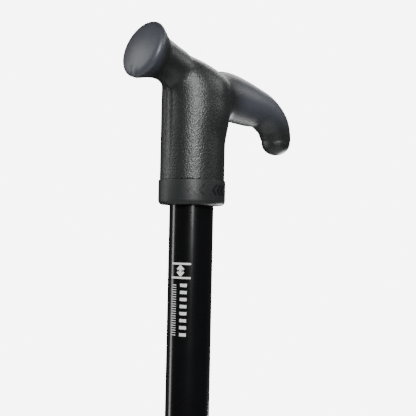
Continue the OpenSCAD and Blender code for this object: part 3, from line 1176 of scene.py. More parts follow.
@dataclass
class GripForm:
    """The grip as one melted form: a round neck, a palm swell, a curved bar and a flared disc.

    Lengths are millimetres. X points to the nose, and Z is the height above the collar's underside.

    Attributes:
        neck_r: Radius of the neck.
        neck_top: Height at which the neck starts to close in a dome.
        swell_at: Centre of the palm swell.
        swell_r: Its three radii.
        disc_at: Middle of the disc's face, [x, z].
        disc_tilt: How far the disc's face looks up, in degrees.
        disc_r: Radius of the disc.
        disc_dome: Crown of the disc's face.
        disc_rim: Thickness of the disc's rim.
        disc_deep: Depth at which the flare behind the disc ends, inside the bar.
        waist_r: Radius that the flare tends to.
        flare_power: How sharply the flare leaves the rim.
        flare_length: How far the flare reaches.
        seam_mm: Height of the mould's parting ridge.
        seam_w: Half width of the parting ridge.
        seam_low: Height at which the ridge fades out on the neck.
        seam_high: Height at which it stands full.
        seam_end: Height at which it ends, under the disc.
        seam_fade: Height over which it ends.
        seam_x: X at which the ridge is gone, and at which it is full.
        swell_melt: Fillet between the neck and its swell.
        bar_melt: Fillet between the neck and the bar.
        disc_melt: Fillet between the disc and the bar.
        rim_melt: Round of the disc's rim.
        nose: Length of the bar's rounded end.
        stations: The bar's stations.
    """

    neck_r: float = 16.1
    neck_top: float = 52.5
    swell_at: Point3 = (3.4, 0.0, 47.0)
    swell_r: Point3 = (14.6, 16.4, 20.0)
    disc_at: Point = (-33.7, 73.2)
    disc_tilt: float = 17.0
    disc_r: float = 14.5
    disc_dome: float = 2.6
    disc_rim: float = 1.2
    disc_deep: float = 20.0
    waist_r: float = 7.4
    flare_power: float = 1.4
    flare_length: float = 24.0
    seam_mm: float = 0.4
    seam_w: float = 2.4
    seam_low: float = 14.0
    seam_high: float = 50.0
    seam_end: float = 66.0
    seam_fade: float = 4.0
    seam_x: Point = (-6.0, -10.0)
    swell_melt: float = 4.0
    bar_melt: float = 5.5
    disc_melt: float = 4.5
    rim_melt: float = 2.6
    nose: float = 6.8
    stations: tuple[Station, ...] = (
        (-26.0, 71.6, 8.2, 8.8),
        (-20.0, 70.2, 8.0, 9.0),
        (-12.0, 66.5, 8.9, 10.4),
        (-5.0, 63.2, 9.9, 13.0),
        (3.0, 59.4, 9.9, 14.4),
        (11.0, 57.0, 10.4, 12.2),
        (18.0, 57.5, 12.2, 11.0),
        (26.0, 56.8, 12.3, 10.8),
        (38.0, 54.8, 11.2, 10.8),
        (49.0, 52.6, 9.6, 10.2),
        (57.5, 47.0, 8.7, 9.4),
        (61.0, 40.4, 8.1, 8.6),
        (61.5, 36.6, 7.6, 8.0),
        (61.2, 31.0, 7.0, 7.0),
    )

    def __post_init__(self) -> None:
        """Prepare the bar."""
        self.bar = Bar(self.stations, self.nose)

    def disc(self, p: np.ndarray) -> np.ndarray:
        """Return the distance from the flared disc.

        Args:
            p: The points.

        Returns:
            The distance of each.
        """
        tilt = math.radians(self.disc_tilt)
        x, z = p[:, 0] - self.disc_at[0], p[:, 2] - self.disc_at[1]
        depth = x * math.cos(tilt) - z * math.sin(tilt)
        lift = x * math.sin(tilt) + z * math.cos(tilt)
        radius = np.hypot(lift, p[:, 1])
        face = -(depth + self.disc_dome * (1 - (radius / self.disc_r) ** 2))
        behind = np.maximum(depth - self.disc_rim, 0) ** self.flare_power
        closing = np.exp(-behind / self.flare_length)
        flare = self.waist_r + (self.disc_r - self.waist_r) * closing
        back = np.maximum(radius - flare, depth - self.disc_deep)
        return -melt(-face, -back, self.rim_melt)

    def neck(self, p: np.ndarray) -> np.ndarray:
        """Return the distance from the neck and its palm swell.

        Args:
            p: The points.

        Returns:
            The distance of each.
        """
        above = np.maximum(p[:, 2] - self.neck_top, 0)
        stem = np.sqrt(p[:, 0] ** 2 + p[:, 1] ** 2 + above**2) - self.neck_r
        swell_r = np.array(self.swell_r)
        q = np.linalg.norm((p - np.array(self.swell_at)) / swell_r, axis=1)
        return melt(stem, (q - 1) * swell_r.min(), self.swell_melt)

    def seam(self, p: np.ndarray) -> np.ndarray:
        """Return the height of the mould's parting ridge, down the back of the neck.

        Args:
            p: The points.

        Returns:
            The height at each.
        """
        across = ease(self.seam_w, self.seam_w * 0.5, np.abs(p[:, 1]))
        behind = ease(*self.seam_x, p[:, 0])
        up = ease(self.seam_low, self.seam_high, p[:, 2])
        below = ease(self.seam_end, self.seam_end - self.seam_fade, p[:, 2])
        return self.seam_mm * across * behind * up * below

    def distance(self, p: np.ndarray) -> np.ndarray:
        """Return the rough distance from the grip's surface, negative inside it."""
        body = melt(self.neck(p), self.bar.distance(p), self.bar_melt)
        return melt(self.disc(p), body, self.disc_melt) - self.seam(p)

    def gradient(self, p: np.ndarray, step: float = 0.05) -> np.ndarray:
        """Return how the distance changes along each axis."""
        rises = [self.distance(p + shift) - self.distance(p - shift) for shift in np.eye(3) * step]
        return np.stack(rises, 1) / (2 * step)


@dataclass
class Net:
    """Draws a closed quad mesh over the zero level of a distance field.

    Attributes:
        distance: The field, negative inside.
        low: Lowest corner of the space that is searched.
        high: Its highest corner.
        cell: Size of a cell.
    """

    distance: Callable[[np.ndarray], np.ndarray]
    low: Point3
    high: Point3
    cell: float

    def draw(self) -> Shell:
        """Draw the net.

        Returns:
            The shell: one point in each cell that the surface crosses, joined to its neighbours.
        """
        spans = zip(self.low, self.high)
        counts = [int(math.ceil((end - start) / self.cell)) + 1 for start, end in spans]
        axes = [start + self.cell * np.arange(n) for start, n in zip(self.low, counts)]
        grid = np.stack(np.meshgrid(*axes, indexing="ij"), -1).reshape(-1, 3)
        values = self.distance(grid).reshape(counts)
        inside = values < 0
        corners = [(a, b, c) for a in (0, 1) for b in (0, 1) for c in (0, 1)]
        filled = sum(self._corner(inside, corner).astype(int) for corner in corners)
        crossed = (filled > 0) & (filled < len(corners))
        cells = np.argwhere(crossed)
        number = np.full(crossed.shape, -1)
        number[crossed] = np.arange(len(cells))
        points = (cells + self._centres(values, cells, corners)) * self.cell + np.array(self.low)
        faces = np.concatenate([self._quads(inside, number, axis) for axis in range(3)])
        return Shell(points, [tuple(face) for face in faces.tolist()])

    @staticmethod
    def _corner(grid: np.ndarray, corner: tuple[int, int, int]) -> np.ndarray:
        """Return the grid's value at one corner of every cell."""
        return grid[tuple(slice(c, n - 1 + c) for c, n in zip(corner, grid.shape))]

    @staticmethod
    def _centres(
        values: np.ndarray, cells: np.ndarray, corners: list[tuple[int, int, int]]
    ) -> np.ndarray:
        """Return the mean crossing point of each crossed cell's edges, in cell units.

        Args:
            values: The field at the grid points.
            cells: The crossed cells.
            corners: The corners of a cell.

        Returns:
            The points, from the lowest corner of each cell.
        """
        total, count = np.zeros((len(cells), 3)), np.zeros(len(cells))
        for i, a in enumerate(corners):
            for b in corners[i + 1 :]:
                if sum(abs(m - n) for m, n in zip(a, b)) != 1:
                    continue
                at_a = values[tuple((cells + a).T)]
                at_b = values[tuple((cells + b).T)]
                cut = (at_a < 0) != (at_b < 0)
                t = (at_a[cut] / (at_a[cut] - at_b[cut]))[:, None]
                total[cut] += np.array(a) + t * (np.array(b) - np.array(a))
                count[cut] += 1
        return total / count[:, None]

    @staticmethod
    def _quads(inside: np.ndarray, number: np.ndarray, axis: int) -> np.ndarray:
        """Return a quad round each grid edge along an axis that the surface crosses.

        Args:
            inside: Which grid points are inside.
            number: The number of each cell's point.
            axis: The axis.

        Returns:
            The quads, as rows of four numbers.
        """
        u, v = (axis + 1) % 3, (axis + 2) % 3
        first = np.take(inside, range(inside.shape[axis] - 1), axis)
        second = np.take(inside, range(1, inside.shape[axis]), axis)
        edges = np.argwhere(first != second)
        leaving = first[tuple(edges.T)]
        quad = []
        for du, dv in ((1, 1), (0, 1), (0, 0), (1, 0)):
            cell = edges.copy()
            cell[:, u] -= du
            cell[:, v] -= dv
            quad.append(number[tuple(cell.T)])
        quads = np.stack(quad, 1)
        quads[~leaving] = quads[~leaving][:, ::-1]
        return quads


# ---------------------------------------------------------------------------
# Sub-assemblies
# ---------------------------------------------------------------------------


@dataclass
class Layout:
    """Places that the frame gives, in millimetres.

    Attributes:
        axis: The shaft's axis, [x, y].
        collar_z: Height of the collar's underside.
    """

    axis: Point = (0.0, 0.0)
    collar_z: float = 0.0

    @classmethod
    def from_frame(cls) -> "Layout":
        """Read the shaft's axis and the handle's foot from the collar's box."""
        low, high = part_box("handle_collar")
        return cls(((low.x + high.x) / 2 / MM, (low.y + high.y) / 2 / MM), low.z / MM)

    def centre(self, z_mm: float = 0.0) -> Point3:
        """Return a point on the shaft's axis, in metres."""
        return metres(self.axis[0]), metres(self.axis[1]), metres(z_mm)

    def on_axis(self, z_mm: float = 0.0) -> Matrix:
        """Return the move from the origin to a point on the shaft's axis, in millimetres."""
        return Matrix.Translation((self.axis[0], self.axis[1], z_mm))


@dataclass
class Handle:
    """The soft grip and the collar under it.

    Attributes:
        shop: Where pieces are made.
        layout: Places from the frame.
        cell: Size of the grip's mesh, in millimetres.
        reach_low: Lowest corner, [x, y], of the space that the grip is in.
        reach_high: Its highest corner, [x, y, z], from the collar's underside.
        relaxing: How many times the grip's points are relaxed.
        foot: Height of the grip's lower edge above the collar's underside.
        collar_r: Radius of the collar.
        collar_top: Its height.
        bore_r: Radius of the collar's hole.
        cup_r: Radius of the wider hollow above it, which holds the core.
        cup_z: Height of the hollow's floor.
        screw_r: Radius of the screw's hole.
        sink_r: Radius of the mouth of the screw's countersink.
        mark_turns: Directions, in degrees, in which the collar has raised chevrons.
        mark_z: Height of the chevrons.
        chevron: A chevron's arm: [length, thickness, height].
        chevron_tilt: Tilt of an arm, in degrees.
        chevron_start: Where the first chevron is along the girth, from the direction of its row.
        chevron_pitch: Distance between two chevrons.
        chevron_half: Distance of the middle of a chevron's arm from the row's middle height.
    """

    shop: Workshop
    layout: Layout
    cell: float = 0.8
    reach_low: Point = (-40.0, -20.0)
    reach_high: Point3 = (72.0, 20.0, 90.0)
    relaxing: int = 4
    foot: float = 12.5
    collar_r: float = 16.7
    collar_top: float = 12.4
    bore_r: float = 11.1
    cup_r: float = 13.4
    cup_z: float = 1.6
    screw_r: float = 1.95
    sink_r: float = 3.7
    mark_turns: tuple[float, ...] = (-125.0, -80.0)
    mark_z: float = 7.4
    chevron: Point3 = (3.4, 0.9, 0.75)
    chevron_tilt: float = 48.0
    chevron_start: float = -3.0
    chevron_pitch: float = 2.9
    chevron_half: float = 1.15

    def build(self) -> None:
        """Build the grip, the collar and its marks."""
        self.grip()
        self.collar()
        self.marks()

    def grip(self) -> None:
        """Make the grip's smooth skin from its form."""
        form = GripForm()
        net = Net(
            lambda p: np.maximum(form.distance(p), self.foot - p[:, 2]),
            (*self.reach_low, self.foot - 2 * self.cell),
            self.reach_high,
            self.cell,
        )
        raw = net.draw()
        place = self.layout.on_axis(self.layout.collar_z)
        skin = Shell(self._settle(form, raw), raw.faces).moved(place)
        self.shop.piece(
            "grip_skin", skin, Body.UPPER, "soft_grip", ["handle_grip"], crease_deg=50.0
        )

    def _settle(self, form: GripForm, shell: Shell) -> np.ndarray:
        """Relax the net's points and press them onto the form, with a crisp lower edge.

        Args:
            form: The grip's form.
            shell: The raw net.

        Returns:
            The settled points.
        """
        points = shell.points
        quads = np.array(shell.faces)
        under = points[:, 2] < self.foot + 0.55 * self.cell
        for _ in range(self.relaxing):
            total, count = np.zeros_like(points), np.zeros(len(points))
            for k in range(4):
                for j in ((k + 1) % 4, (k - 1) % 4):
                    np.add.at(total, quads[:, k], points[quads[:, j]])
                    np.add.at(count, quads[:, k], 1)
            relaxed = points * 0.5 + total / count[:, None] * 0.5
            slope = form.gradient(relaxed)
            pull = form.distance(relaxed) / np.maximum((slope**2).sum(1), TINY)
            points = np.where(under[:, None], points, relaxed - pull[:, None] * slope)
        radius = np.hypot(points[:, 0], points[:, 1])
        rim = under & (radius > form.neck_r - 0.9 * self.cell)
        points[under, 2] = self.foot
        points[rim, :2] *= (form.neck_r / radius[rim])[:, None]
        return points

    def collar(self) -> None:
        """Make the collar ring with its rounded lower edge and the countersink of its screw."""
        outline = [
            (self.bore_r, 0.0, 0.5),
            (self.collar_r, 0.0, 2.6),
            (self.collar_r, self.collar_top, 0.45),
            (self.cup_r, self.collar_top, 0.0),
            (self.cup_r, self.cup_z, 0.0),
            (self.bore_r, self.cup_z, 0.0),
        ]
        ring = lathe(rounded(outline), 144).moved(self.layout.on_axis(self.layout.collar_z))
        tool = self._countersink()
        mesh = self._cut(self.shop.mesh("collar_ring", ring), self.shop.mesh("countersink", tool))
        self.shop.piece("collar_ring", mesh, Body.UPPER, "collar_plastic", ["handle_collar"])

    def _countersink(self) -> Shell:
        """Shape the tool for the screw's hole.

        Returns:
            A closed shell from well inside the collar to outside it.
        """
        low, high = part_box("handle_screw")
        middle = (low + high) / 2
        outline = [
            (0.0, -9.0),
            (self.screw_r, -9.0),
            (self.screw_r, -2.45),
            (self.sink_r, -0.2),
            (self.sink_r, 2.0),
            (0.0, 2.0),
        ]
        place = Matrix.Translation((middle.x / MM, high.y / MM, middle.z / MM))
        return lathe(outline, 36).moved(place @ Matrix.Rotation(math.radians(-90), 4, "X"))

    @staticmethod
    def _cut(mesh: bpy.types.Mesh, tool: bpy.types.Mesh) -> bpy.types.Mesh:
        """Cut one closed mesh out of another.

        Args:
            mesh: The mesh that is cut.
            tool: What is taken away.

        Returns:
            The cut mesh.
        """
        blank = bpy.data.objects.new("blank", mesh)
        cutter = bpy.data.objects.new("cutter", tool)
        for one in (blank, cutter):
            bpy.context.scene.collection.objects.link(one)
        boolean = blank.modifiers.new("cut", "BOOLEAN")
        boolean.object = cutter
        boolean.solver = "EXACT"
        graph = bpy.context.evaluated_depsgraph_get()
        made = bpy.data.meshes.new_from_object(blank.evaluated_get(graph), depsgraph=graph)
        for one in (blank, cutter):
            bpy.data.objects.remove(one)
        made.name = mesh.name + "_cut"
        return made

    def marks(self) -> None:
        """Raise small chevrons on the collar: plain grip marks, three in a row, coloured dark as painted
        shade in their relief.
        """
        recipe = wrapped_marks(self.shop.wardrobe.of(CHEVRON_PAINTED_SHADE))
        for i, turn in enumerate(self.mark_turns):
            arms = [
                recipe.run(
                    f"chevron_{i}_{side}",
                    Count=3,
                    Start=(metres(self.chevron_start), 0.0, metres(side * self.chevron_half)),
                    Step=(metres(self.chevron_pitch), 0.0, 0.0),
                    Size=tuple(metres(length) for length in self.chevron),
                    Tilt=-side * math.radians(self.chevron_tilt),
                    Radius=metres(self.collar_r),
                    Turn=math.radians(turn),
                    Centre=self.layout.centre(self.layout.collar_z + self.mark_z),
                )
                for side in (-1, 1)
            ]
            name = f"collar_chevrons_{i}"
            self.shop.piece(name, join(arms), Body.UPPER, "collar_plastic", finish=CHEVRON_PAINTED_SHADE)


def join(meshes: Sequence[bpy.types.Mesh]) -> bpy.types.Mesh:
    """Join meshes into the first one.

    Args:
        meshes: The meshes.

    Returns:
        The first mesh.
    """
    work = bmesh.new()
    for mesh in meshes:
        work.from_mesh(mesh)
    work.to_mesh(meshes[0])
    work.free()
    return meshes[0]


@dataclass(frozen=True)
class Ticks:
    """A column of printed ticks, with lengths in millimetres.

    Attributes:
        name: The column's name.
        count: Number of ticks.
        pitch: Distance between two ticks.
        length: Length of a tick, along the girth.
        height: Height of a tick.
        turn: The column's direction from the print's middle, in degrees.
    """

    name: str
    count: int
    pitch: float
    length: float
    height: float
    turn: float


@dataclass(frozen=True)
class Stroke:
    """A bar of a printed sign, with lengths in millimetres.

    Attributes:
        x: Where its middle is along the girth, from the sign's middle.
        z: Height of its middle above the sign's.
        length: Its length.
        height: Its height.
        tilt: Its tilt, in degrees.
    """

    x: float
    z: float
    length: float
    height: float
    tilt: float


@dataclass
class Shaft:
    """The printed marks on the upper tube and the button in the lower one.

    Attributes:
        shop: Where pieces are made.
        layout: Places from the frame.
        tube_r: Radius of the upper tube.
        print_turn: Direction of the print's middle, in degrees.
        print_top: How far the print starts below the collar.
        scale_drop: How far the ticks start below that.
        ink: Thickness of the ink.
        columns: The columns of ticks.
        strokes: The bars of the sign for adjusting the height.
        button_r: Radius of the snap button.
        dome: Height of its dome.
        seat: Height of its seat above its inner end.
        rivet_r: Radius of its rivet's shank.
        rivet_head: How far the rivet's head stands out, and its thickness.
    """

    shop: Workshop
    layout: Layout
    tube_r: float = 11.0
    print_turn: float = -157.0
    print_top: float = 32.0
    scale_drop: float = 7.0
    ink: float = 0.06
    columns: tuple[Ticks, ...] = (
        Ticks("scale_fine", 22, 1.15, 2.6, 0.32, -18.0),
        Ticks("scale_coarse", 8, 3.4, 3.4, 1.5, 9.0),
    )
    strokes: tuple[Stroke, ...] = (
        Stroke(0.0, 3.4, 10.4, 0.9, 0.0),
        Stroke(0.0, -3.4, 10.4, 0.9, 0.0),
        Stroke(0.0, 0.0, 4.2, 1.1, 90.0),
        Stroke(-0.75, 1.45, 2.6, 1.0, -45.0),
        Stroke(0.75, 1.45, 2.6, 1.0, 45.0),
        Stroke(-0.75, -1.45, 2.6, 1.0, 45.0),
        Stroke(0.75, -1.45, 2.6, 1.0, -45.0),
    )
    button_r: float = 3.1
    dome: float = 2.2
    seat: float = 1.5
    rivet_r: float = 1.5
    rivet_head: Point = (0.7, 0.8)

    def build(self) -> None:
        """Build the print and the button."""
        self.scale_print()
        self.adjust_sign()
        self.button()

    def scale_print(self) -> None:
        """Print two columns of ticks, as on a height scale without figures."""
        recipe = wrapped_marks(self.shop.wardrobe.of(PRINT_INK))
        top = self.layout.collar_z - self.print_top - self.scale_drop
        for ticks in self.columns:
            mesh = recipe.run(
                ticks.name,
                Count=ticks.count,
                Step=(0.0, 0.0, metres(-ticks.pitch)),
                Size=(metres(ticks.length), metres(2 * self.ink), metres(ticks.height)),
                Radius=metres(self.tube_r),
                Turn=math.radians(self.print_turn + ticks.turn),
                Centre=self.layout.centre(top),
            )
            self.shop.piece(ticks.name, mesh, Body.UPPER, "black_tube", finish=PRINT_INK)

    def adjust_sign(self) -> None:
        """Print the sign for adjusting the height: a two-headed arrow between two bars."""
        recipe = wrapped_marks(self.shop.wardrobe.of(PRINT_INK))
        meshes = [
            recipe.run(
                f"sign_{i}",
                Count=1,
                Start=(metres(stroke.x), 0.0, metres(stroke.z)),
                Size=(metres(stroke.length), metres(2 * self.ink), metres(stroke.height)),
                Tilt=math.radians(stroke.tilt),
                Radius=metres(self.tube_r),
                Turn=math.radians(self.print_turn),
                Centre=self.layout.centre(self.layout.collar_z - self.print_top),
            )
            for i, stroke in enumerate(self.strokes)
        ]
        self.shop.piece("adjust_sign", join(meshes), Body.UPPER, "black_tube", finish=PRINT_INK)

    def button(self) -> None:
        """Make the domed snap button with its rivet."""
        low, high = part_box("snap_button")
        x0, x1 = low.x / MM, high.x / MM
        out, thick = self.rivet_head
        outline = [
            (0.0, x0),
            (self.rivet_r + out, x0),
            (self.rivet_r + out, x0 + thick),
            (self.rivet_r, x0 + thick),
            (self.rivet_r, x0 + self.seat),
            (self.button_r, x0 + self.seat),
        ]
        for angle in np.linspace(0, math.pi / 2, 13)[:-1]:
            height = x1 - self.dome + self.dome * math.sin(angle)
            outline.append((self.button_r * math.cos(angle), height))
        outline.append((0.0, x1))
        place = Matrix.Translation((0, self.layout.axis[1], (low.z + high.z) / 2 / MM))
        shell = lathe(outline, 48).moved(place @ Matrix.Rotation(math.radians(90), 4, "Y"))
        self.shop.piece("button_dome", shell, Body.BUTTON, "button_steel", ["snap_button"])


@dataclass
class LockNut:
    """The ribbed nut that tightens the upper tube's collet on the lower tube.

    Attributes:
        shop: Where pieces are made.
        layout: Places from the frame.
        ribs: Number of grip ribs.
        rib: Half sizes of a rib, outwards and across.
        rib_sunk: How deep a rib's middle lies in the body.
        rib_low: Height at which the ribs start.
        rib_less: How much shorter than the nut they are.
        flange: How far the upper rim stands out from the body.
        bore_r: Radius of the hole round the lower tube.
        mouth_r: Radius of the mouth round the upper tube's sleeve.
        thread_r: Radius of the hollow round the thread.
        thread_z: Heights of the hollow's floor and top.
    """

    shop: Workshop
    layout: Layout
    ribs: int = 24
    rib: Point = (1.2, 1.25)
    rib_sunk: float = 0.25
    rib_low: float = 8.6
    rib_less: float = 14.0
    flange: float = 1.0
    bore_r: float = 9.8
    mouth_r: float = 13.1
    thread_r: float = 13.7
    thread_z: Point = (7.9, 17.0)

    def build(self) -> None:
        """Build the nut's turned body and its ribs."""
        low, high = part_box("lock_nut")
        z0, z1 = low.z / MM, high.z / MM
        r = (high.x - low.x) / 2 / MM
        body_r = r - self.flange
        floor, top = (z0 + height for height in self.thread_z)
        outline = [
            (self.bore_r, z0, 0.4),
            (r - 3.4, z0, 1.0),
            (r - 1.8, z0 + 3.0, 3.0),
            (body_r, z0 + 8.0, 4.0),
            (body_r, z1 - 4.0, 0.6),
            (r, z1 - 3.2, 0.6),
            (r, z1 - 0.4, 0.8),
            (r - 1.4, z1, 0.5),
            (self.mouth_r, z1, 0.4),
            (self.mouth_r, top, 0.0),
            (self.thread_r, top, 0.0),
            (self.thread_r, floor, 0.0),
            (self.bore_r, floor, 0.3),
        ]
        shell = lathe(rounded(outline), 96).moved(self.layout.on_axis())
        self.shop.piece("nut_body", shell, Body.NUT, "nut_plastic", ["lock_nut"])
        recipe = rib_ring(self.shop.wardrobe.slot("nut_plastic"))
        half = (z1 - z0 - self.rib_less) / 2
        mesh = recipe.run(
            "nut_ribs",
            Count=self.ribs,
            Radius=metres(body_r - self.rib_sunk),
            Size=(metres(self.rib[0]), metres(self.rib[1]), metres(half)),
            Centre=self.layout.centre(z0 + self.rib_low + half),
        )
        self.shop.piece("nut_ribs", mesh, Body.NUT, "nut_plastic")


@dataclass
class Foot:
    """One rubber tip.

    Attributes:
        shop: Where pieces are made.
        name: The foot's name, as in the frame's nodes.
        waist_r: Radius of the waist.
        rim_r: Radius of the rim at the top.
        leg_r: Radius of the leg's hole.
        floor: Thickness of the rubber under the leg.
        grooves: Inner and outer radius of each groove in the tread.
        tread: Depth of the grooves.
        flank: How far a groove's sides slope, and the round of its edges.
        ribs: Number of upright ribs round the waist.
        rib: Half sizes of a rib: outwards, across, up.
        rib_sunk: How deep a rib's middle lies in the waist.
        rib_drop: How far its middle lies below the tip's top.
    """

    shop: Workshop
    name: str
    waist_r: float = 11.0
    rim_r: float = 11.8
    leg_r: float = 8.0
    floor: float = 8.0
    grooves: tuple[Point, ...] = ((4.3, 6.7), (9.1, 11.5))
    tread: float = 1.6
    flank: float = 0.3
    ribs: int = 18
    rib: Point3 = (0.75, 0.8, 7.0)
    rib_sunk: float = 0.1
    rib_drop: float = 13.5

    def build(self) -> None:
        """Build the turned tip and its ribs."""
        low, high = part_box(f"tip_{self.name}")
        x, y = (low.x + high.x) / 2 / MM, (low.y + high.y) / 2 / MM
        top, r = high.z / MM, (high.x - low.x) / 2 / MM
        outline = [
            *self._tread(),
            (r, 0.0, 1.1),
            (r, 4.5, 1.4),
            (self.waist_r + 2.6, 8.5, 5.0),
            (self.waist_r + 0.2, 16.0, 8.0),
            (self.waist_r, top - 6.0, 0.8),
            (self.rim_r, top - 5.0, 0.8),
            (self.rim_r, top, 1.2),
            (self.leg_r, top, 0.3),
            (self.leg_r, self.floor, 0.0),
            (0.0, self.floor, 0.0),
        ]
        shell = lathe(rounded(outline, 5)).moved(Matrix.Translation((x, y, 0.0)))
        node = f"tip_{self.name}"
        self.shop.piece(f"rubber_{node}", shell, Body.BASE, "tip_rubber", [node])
        recipe = rib_ring(self.shop.wardrobe.slot("tip_rubber"))
        mesh = recipe.run(
            f"tip_ribs_{self.name}",
            Count=self.ribs,
            Radius=metres(self.waist_r - self.rib_sunk),
            Size=tuple(metres(half) for half in self.rib),
            Centre=(metres(x), metres(y), metres(top - self.rib_drop)),
        )
        self.shop.piece(f"tip_ribs_{self.name}", mesh, Body.BASE, "tip_rubber")

    def _tread(self) -> list[Point3]:
        """Shape the grooved underside.

        Returns:
            Its corners, from the axis outwards.
        """
        corners: list[Point3] = [(0.0, 0.0, 0.0)]
        for inner, outer in self.grooves:
            corners += [
                (inner, 0.0, self.flank),
                (inner + self.flank, self.tread, self.flank),
                (outer - self.flank, self.tread, self.flank),
                (outer, 0.0, self.flank),
            ]
        return corners


@dataclass
class Base:
    """The four-legged base: its welds and rubber tips.

    Attributes:
        shop: Where pieces are made.
        layout: Places from the frame.
        leg_r: Radius of a leg tube.
        post_r: Radius of the socket.
        slope: Slope of the legs' arms, in degrees.
        leg_top: Height at which the legs' axes meet the socket's.
        ripples: Ripples in a weld.
        ripple_r: Radius of a ripple.
    """

    shop: Workshop
    layout: Layout
    leg_r: float = 8.0
    post_r: float = 14.0
    slope: float = 22.0
    leg_top: float = 120.0
    ripples: int = 44
    ripple_r: float = 1.5

    def build(self) -> None:
        """Build every leg's weld and tip."""
        names = [n.removeprefix("tip_") for n in frame["nodes"] if n.startswith("tip_")]
        recipe = weld_bead(self.shop.wardrobe.slot("black_steel"))
        for i, name in enumerate(sorted(names)):
            Foot(self.shop, name).build()
            self.weld(recipe, name, i)

    def weld(self, recipe: Recipe, name: str, seed: int) -> None:
        """Lay the bead that joins one leg to the socket.

        Args:
            recipe: The bead's recipe.
            name: The foot's name.
            seed: What makes this bead's ripples differ from the others'.
        """
        low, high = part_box(f"tip_{name}")
        foot = (low + high) / 2
        outwards = foot - Vector(self.layout.centre())
        mesh = recipe.run(
            f"weld_{name}",
            Count=self.ripples,
            Ripple=metres(self.ripple_r),
            Leg=metres(self.leg_r),
            Post=metres(self.post_r),
            Slope=math.radians(self.slope),
            Top=metres(self.leg_top),
            Turn=math.atan2(outwards.y, outwards.x),
            Centre=self.layout.centre(),
            Seed=seed,
        )
        self.shop.piece(f"weld_{name}", mesh, Body.BASE, "black_steel")


# ---------------------------------------------------------------------------
# Studio
# ---------------------------------------------------------------------------


@dataclass(frozen=True)
class SoftBox:
    """A studio lamp.

    Attributes:
        name: Its name.
        turn: Its direction from the shaft, in degrees to the left of the camera.
        lift: Its height above the horizon, in degrees.
        distance: Its distance from the handle, in metres.
        size: Width and height, in metres.
        power: Its power, in watts.
    """

    name: str
    turn: float
    lift: float
    distance: float
    size: Point
    power: float


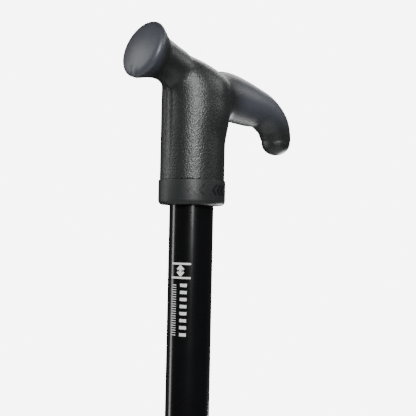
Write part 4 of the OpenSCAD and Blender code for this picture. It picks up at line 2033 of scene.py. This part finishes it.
@dataclass
class Studio:
    """Floor, backdrop, lamps and camera.

    Attributes:
        layout: Places from the frame.
        azimuth: Direction of the camera round the shaft, in degrees.
        distance: Distance of the camera from the shaft's axis, in millimetres.
        drop: How far the camera is below the collar, in millimetres.
        focal: Focal length for a sensor of the default width, in millimetres.
        pan: How far the camera looks to the right of the shaft, in degrees.
        pitch: How far it looks up, in degrees.
        roll: How far the shaft leans to the right in its view, in degrees.
        clip: Nearest and farthest distance that the camera sees, in metres.
        aim: Height above the collar at which the lamps point, in millimetres.
        floor_r: Radius of the floor, in metres.
        floor_drop: How far the floor is below the rubber tips, in metres.
        glow: How much brighter than its light the world looks.
        fill: Strength of the world's light.
        boxes: The lamps.
    """

    layout: Layout
    azimuth: float = -42.0
    distance: float = 398.0
    drop: float = 12.0
    focal: float = 69.23
    pan: float = 1.19
    pitch: float = 1.575
    roll: float = 1.2
    clip: Point = (0.01, 50.0)
    aim: float = 10.0
    floor_r: float = 0.8
    floor_drop: float = 0.0002
    glow: float = 7.0
    fill: float = 0.05
    boxes: tuple[SoftBox, ...] = (
        SoftBox("front_key", -6.0, 19.0, 1.3, (0.40, 0.50), 16.0),
        SoftBox("front_low", -7.0, 3.0, 1.3, (0.18, 0.16), 0.6),
        SoftBox("strip_left", 103.0, 4.0, 1.3, (0.26, 1.50), 6.2),
        SoftBox("soft_left", 82.0, 24.0, 1.3, (0.50, 0.50), 3.8),
        SoftBox("soft_right", -84.0, 32.0, 1.3, (0.60, 0.60), 6.2),
        SoftBox("rim_high", -158.0, 40.0, 1.3, (0.60, 0.60), 5.5),
        SoftBox("rim_low", -150.0, -28.0, 1.3, (0.50, 0.40), 9.0),
        SoftBox("base_key", -6.0, 14.0, 2.0, (0.50, 0.40), 8.0),
    )

    def build(self) -> None:
        """Set up the whole studio."""
        self.camera()
        self.floor()
        self.world()
        for box in self.boxes:
            self.lamp(box)

    def away(self, turn: float, lift: float = 0.0) -> Vector:
        """Return the direction some degrees left of the camera and above the horizon."""
        a, e = math.radians(self.azimuth - turn), math.radians(lift)
        return Vector((math.sin(a) * math.cos(e), -math.cos(a) * math.cos(e), math.sin(e)))

    def camera(self) -> None:
        """Place the camera."""
        data = bpy.data.cameras.new("camera")
        data.lens = self.focal
        data.clip_start, data.clip_end = self.clip
        made = bpy.data.objects.new("camera", data)
        bpy.context.scene.collection.objects.link(made)
        foot = Vector(self.layout.centre(self.layout.collar_z - self.drop))
        spot = foot + self.away(0.0) * metres(self.distance)
        level = Matrix.Rotation(math.radians(-self.pan), 3, "Z") @ -self.away(0.0)
        pitch, roll = math.radians(self.pitch), math.radians(self.roll)
        upright = Vector((0, 0, 1))
        ahead = level * math.cos(pitch) + upright * math.sin(pitch)
        right = ahead.cross(upright).normalized()
        up = right.cross(ahead)
        across = right * math.cos(roll) + up * math.sin(roll)
        top = up * math.cos(roll) - right * math.sin(roll)
        axes = Matrix((across, top, -ahead)).transposed()
        made.matrix_world = Matrix.Translation(spot) @ axes.to_4x4()
        bpy.context.scene.camera = made

    def lamp(self, box: SoftBox) -> None:
        """Hang one lamp so that it faces the handle.

        Args:
            box: The lamp.
        """
        data = bpy.data.lights.new(box.name, "AREA")
        data.shape = "RECTANGLE"
        data.size, data.size_y = box.size
        data.energy = box.power
        made = bpy.data.objects.new(box.name, data)
        bpy.context.scene.collection.objects.link(made)
        target = Vector(self.layout.centre(self.layout.collar_z + self.aim))
        out = self.away(box.turn, box.lift)
        facing = out.to_track_quat("Z", "Y").to_matrix().to_4x4()
        made.matrix_world = Matrix.Translation(target + out * box.distance) @ facing

    def floor(self) -> None:
        """Lay a pale round floor."""
        mesh = bpy.data.meshes.new("floor")
        work = bmesh.new()
        bmesh.ops.create_circle(work, cap_ends=True, radius=self.floor_r, segments=96)
        work.to_mesh(mesh)
        work.free()
        made = bpy.data.objects.new("floor", mesh)
        made.location.z = -self.floor_drop
        bpy.context.scene.collection.objects.link(made)
        mesh.materials.append(FLOOR_PAINT.material())

    def world(self) -> None:
        """Surround the scene with white, dimmer as a light than it looks."""
        world = bpy.data.worlds.new("studio")
        bpy.context.scene.world = world
        world.use_nodes = True
        graph = Graph(world.node_tree)
        seen = graph.num("ShaderNodeLightPath", out="Is Camera Ray")
        strength = seen * self.glow + self.fill
        white = graph.add(
            "ShaderNodeBackground", None, {"Color": (1, 1, 1, 1), "Strength": strength}
        )
        graph.add("ShaderNodeOutputWorld", None, {"Surface": white.outputs[0]})


def main() -> None:
    """Build the whole scene in order."""
    logging.basicConfig(level=logging.INFO, format="%(name)s: %(message)s")
    layout = Layout.from_frame()
    shop = Workshop(Wardrobe())
    shop.dress_frame()
    Handle(shop, layout).build()
    Shaft(shop, layout).build()
    LockNut(shop, layout).build()
    Base(shop, layout).build()
    Studio(layout).build()
    log.info("%d pieces made", len(shop.pieces))


if __name__ == "__main__":
    main()
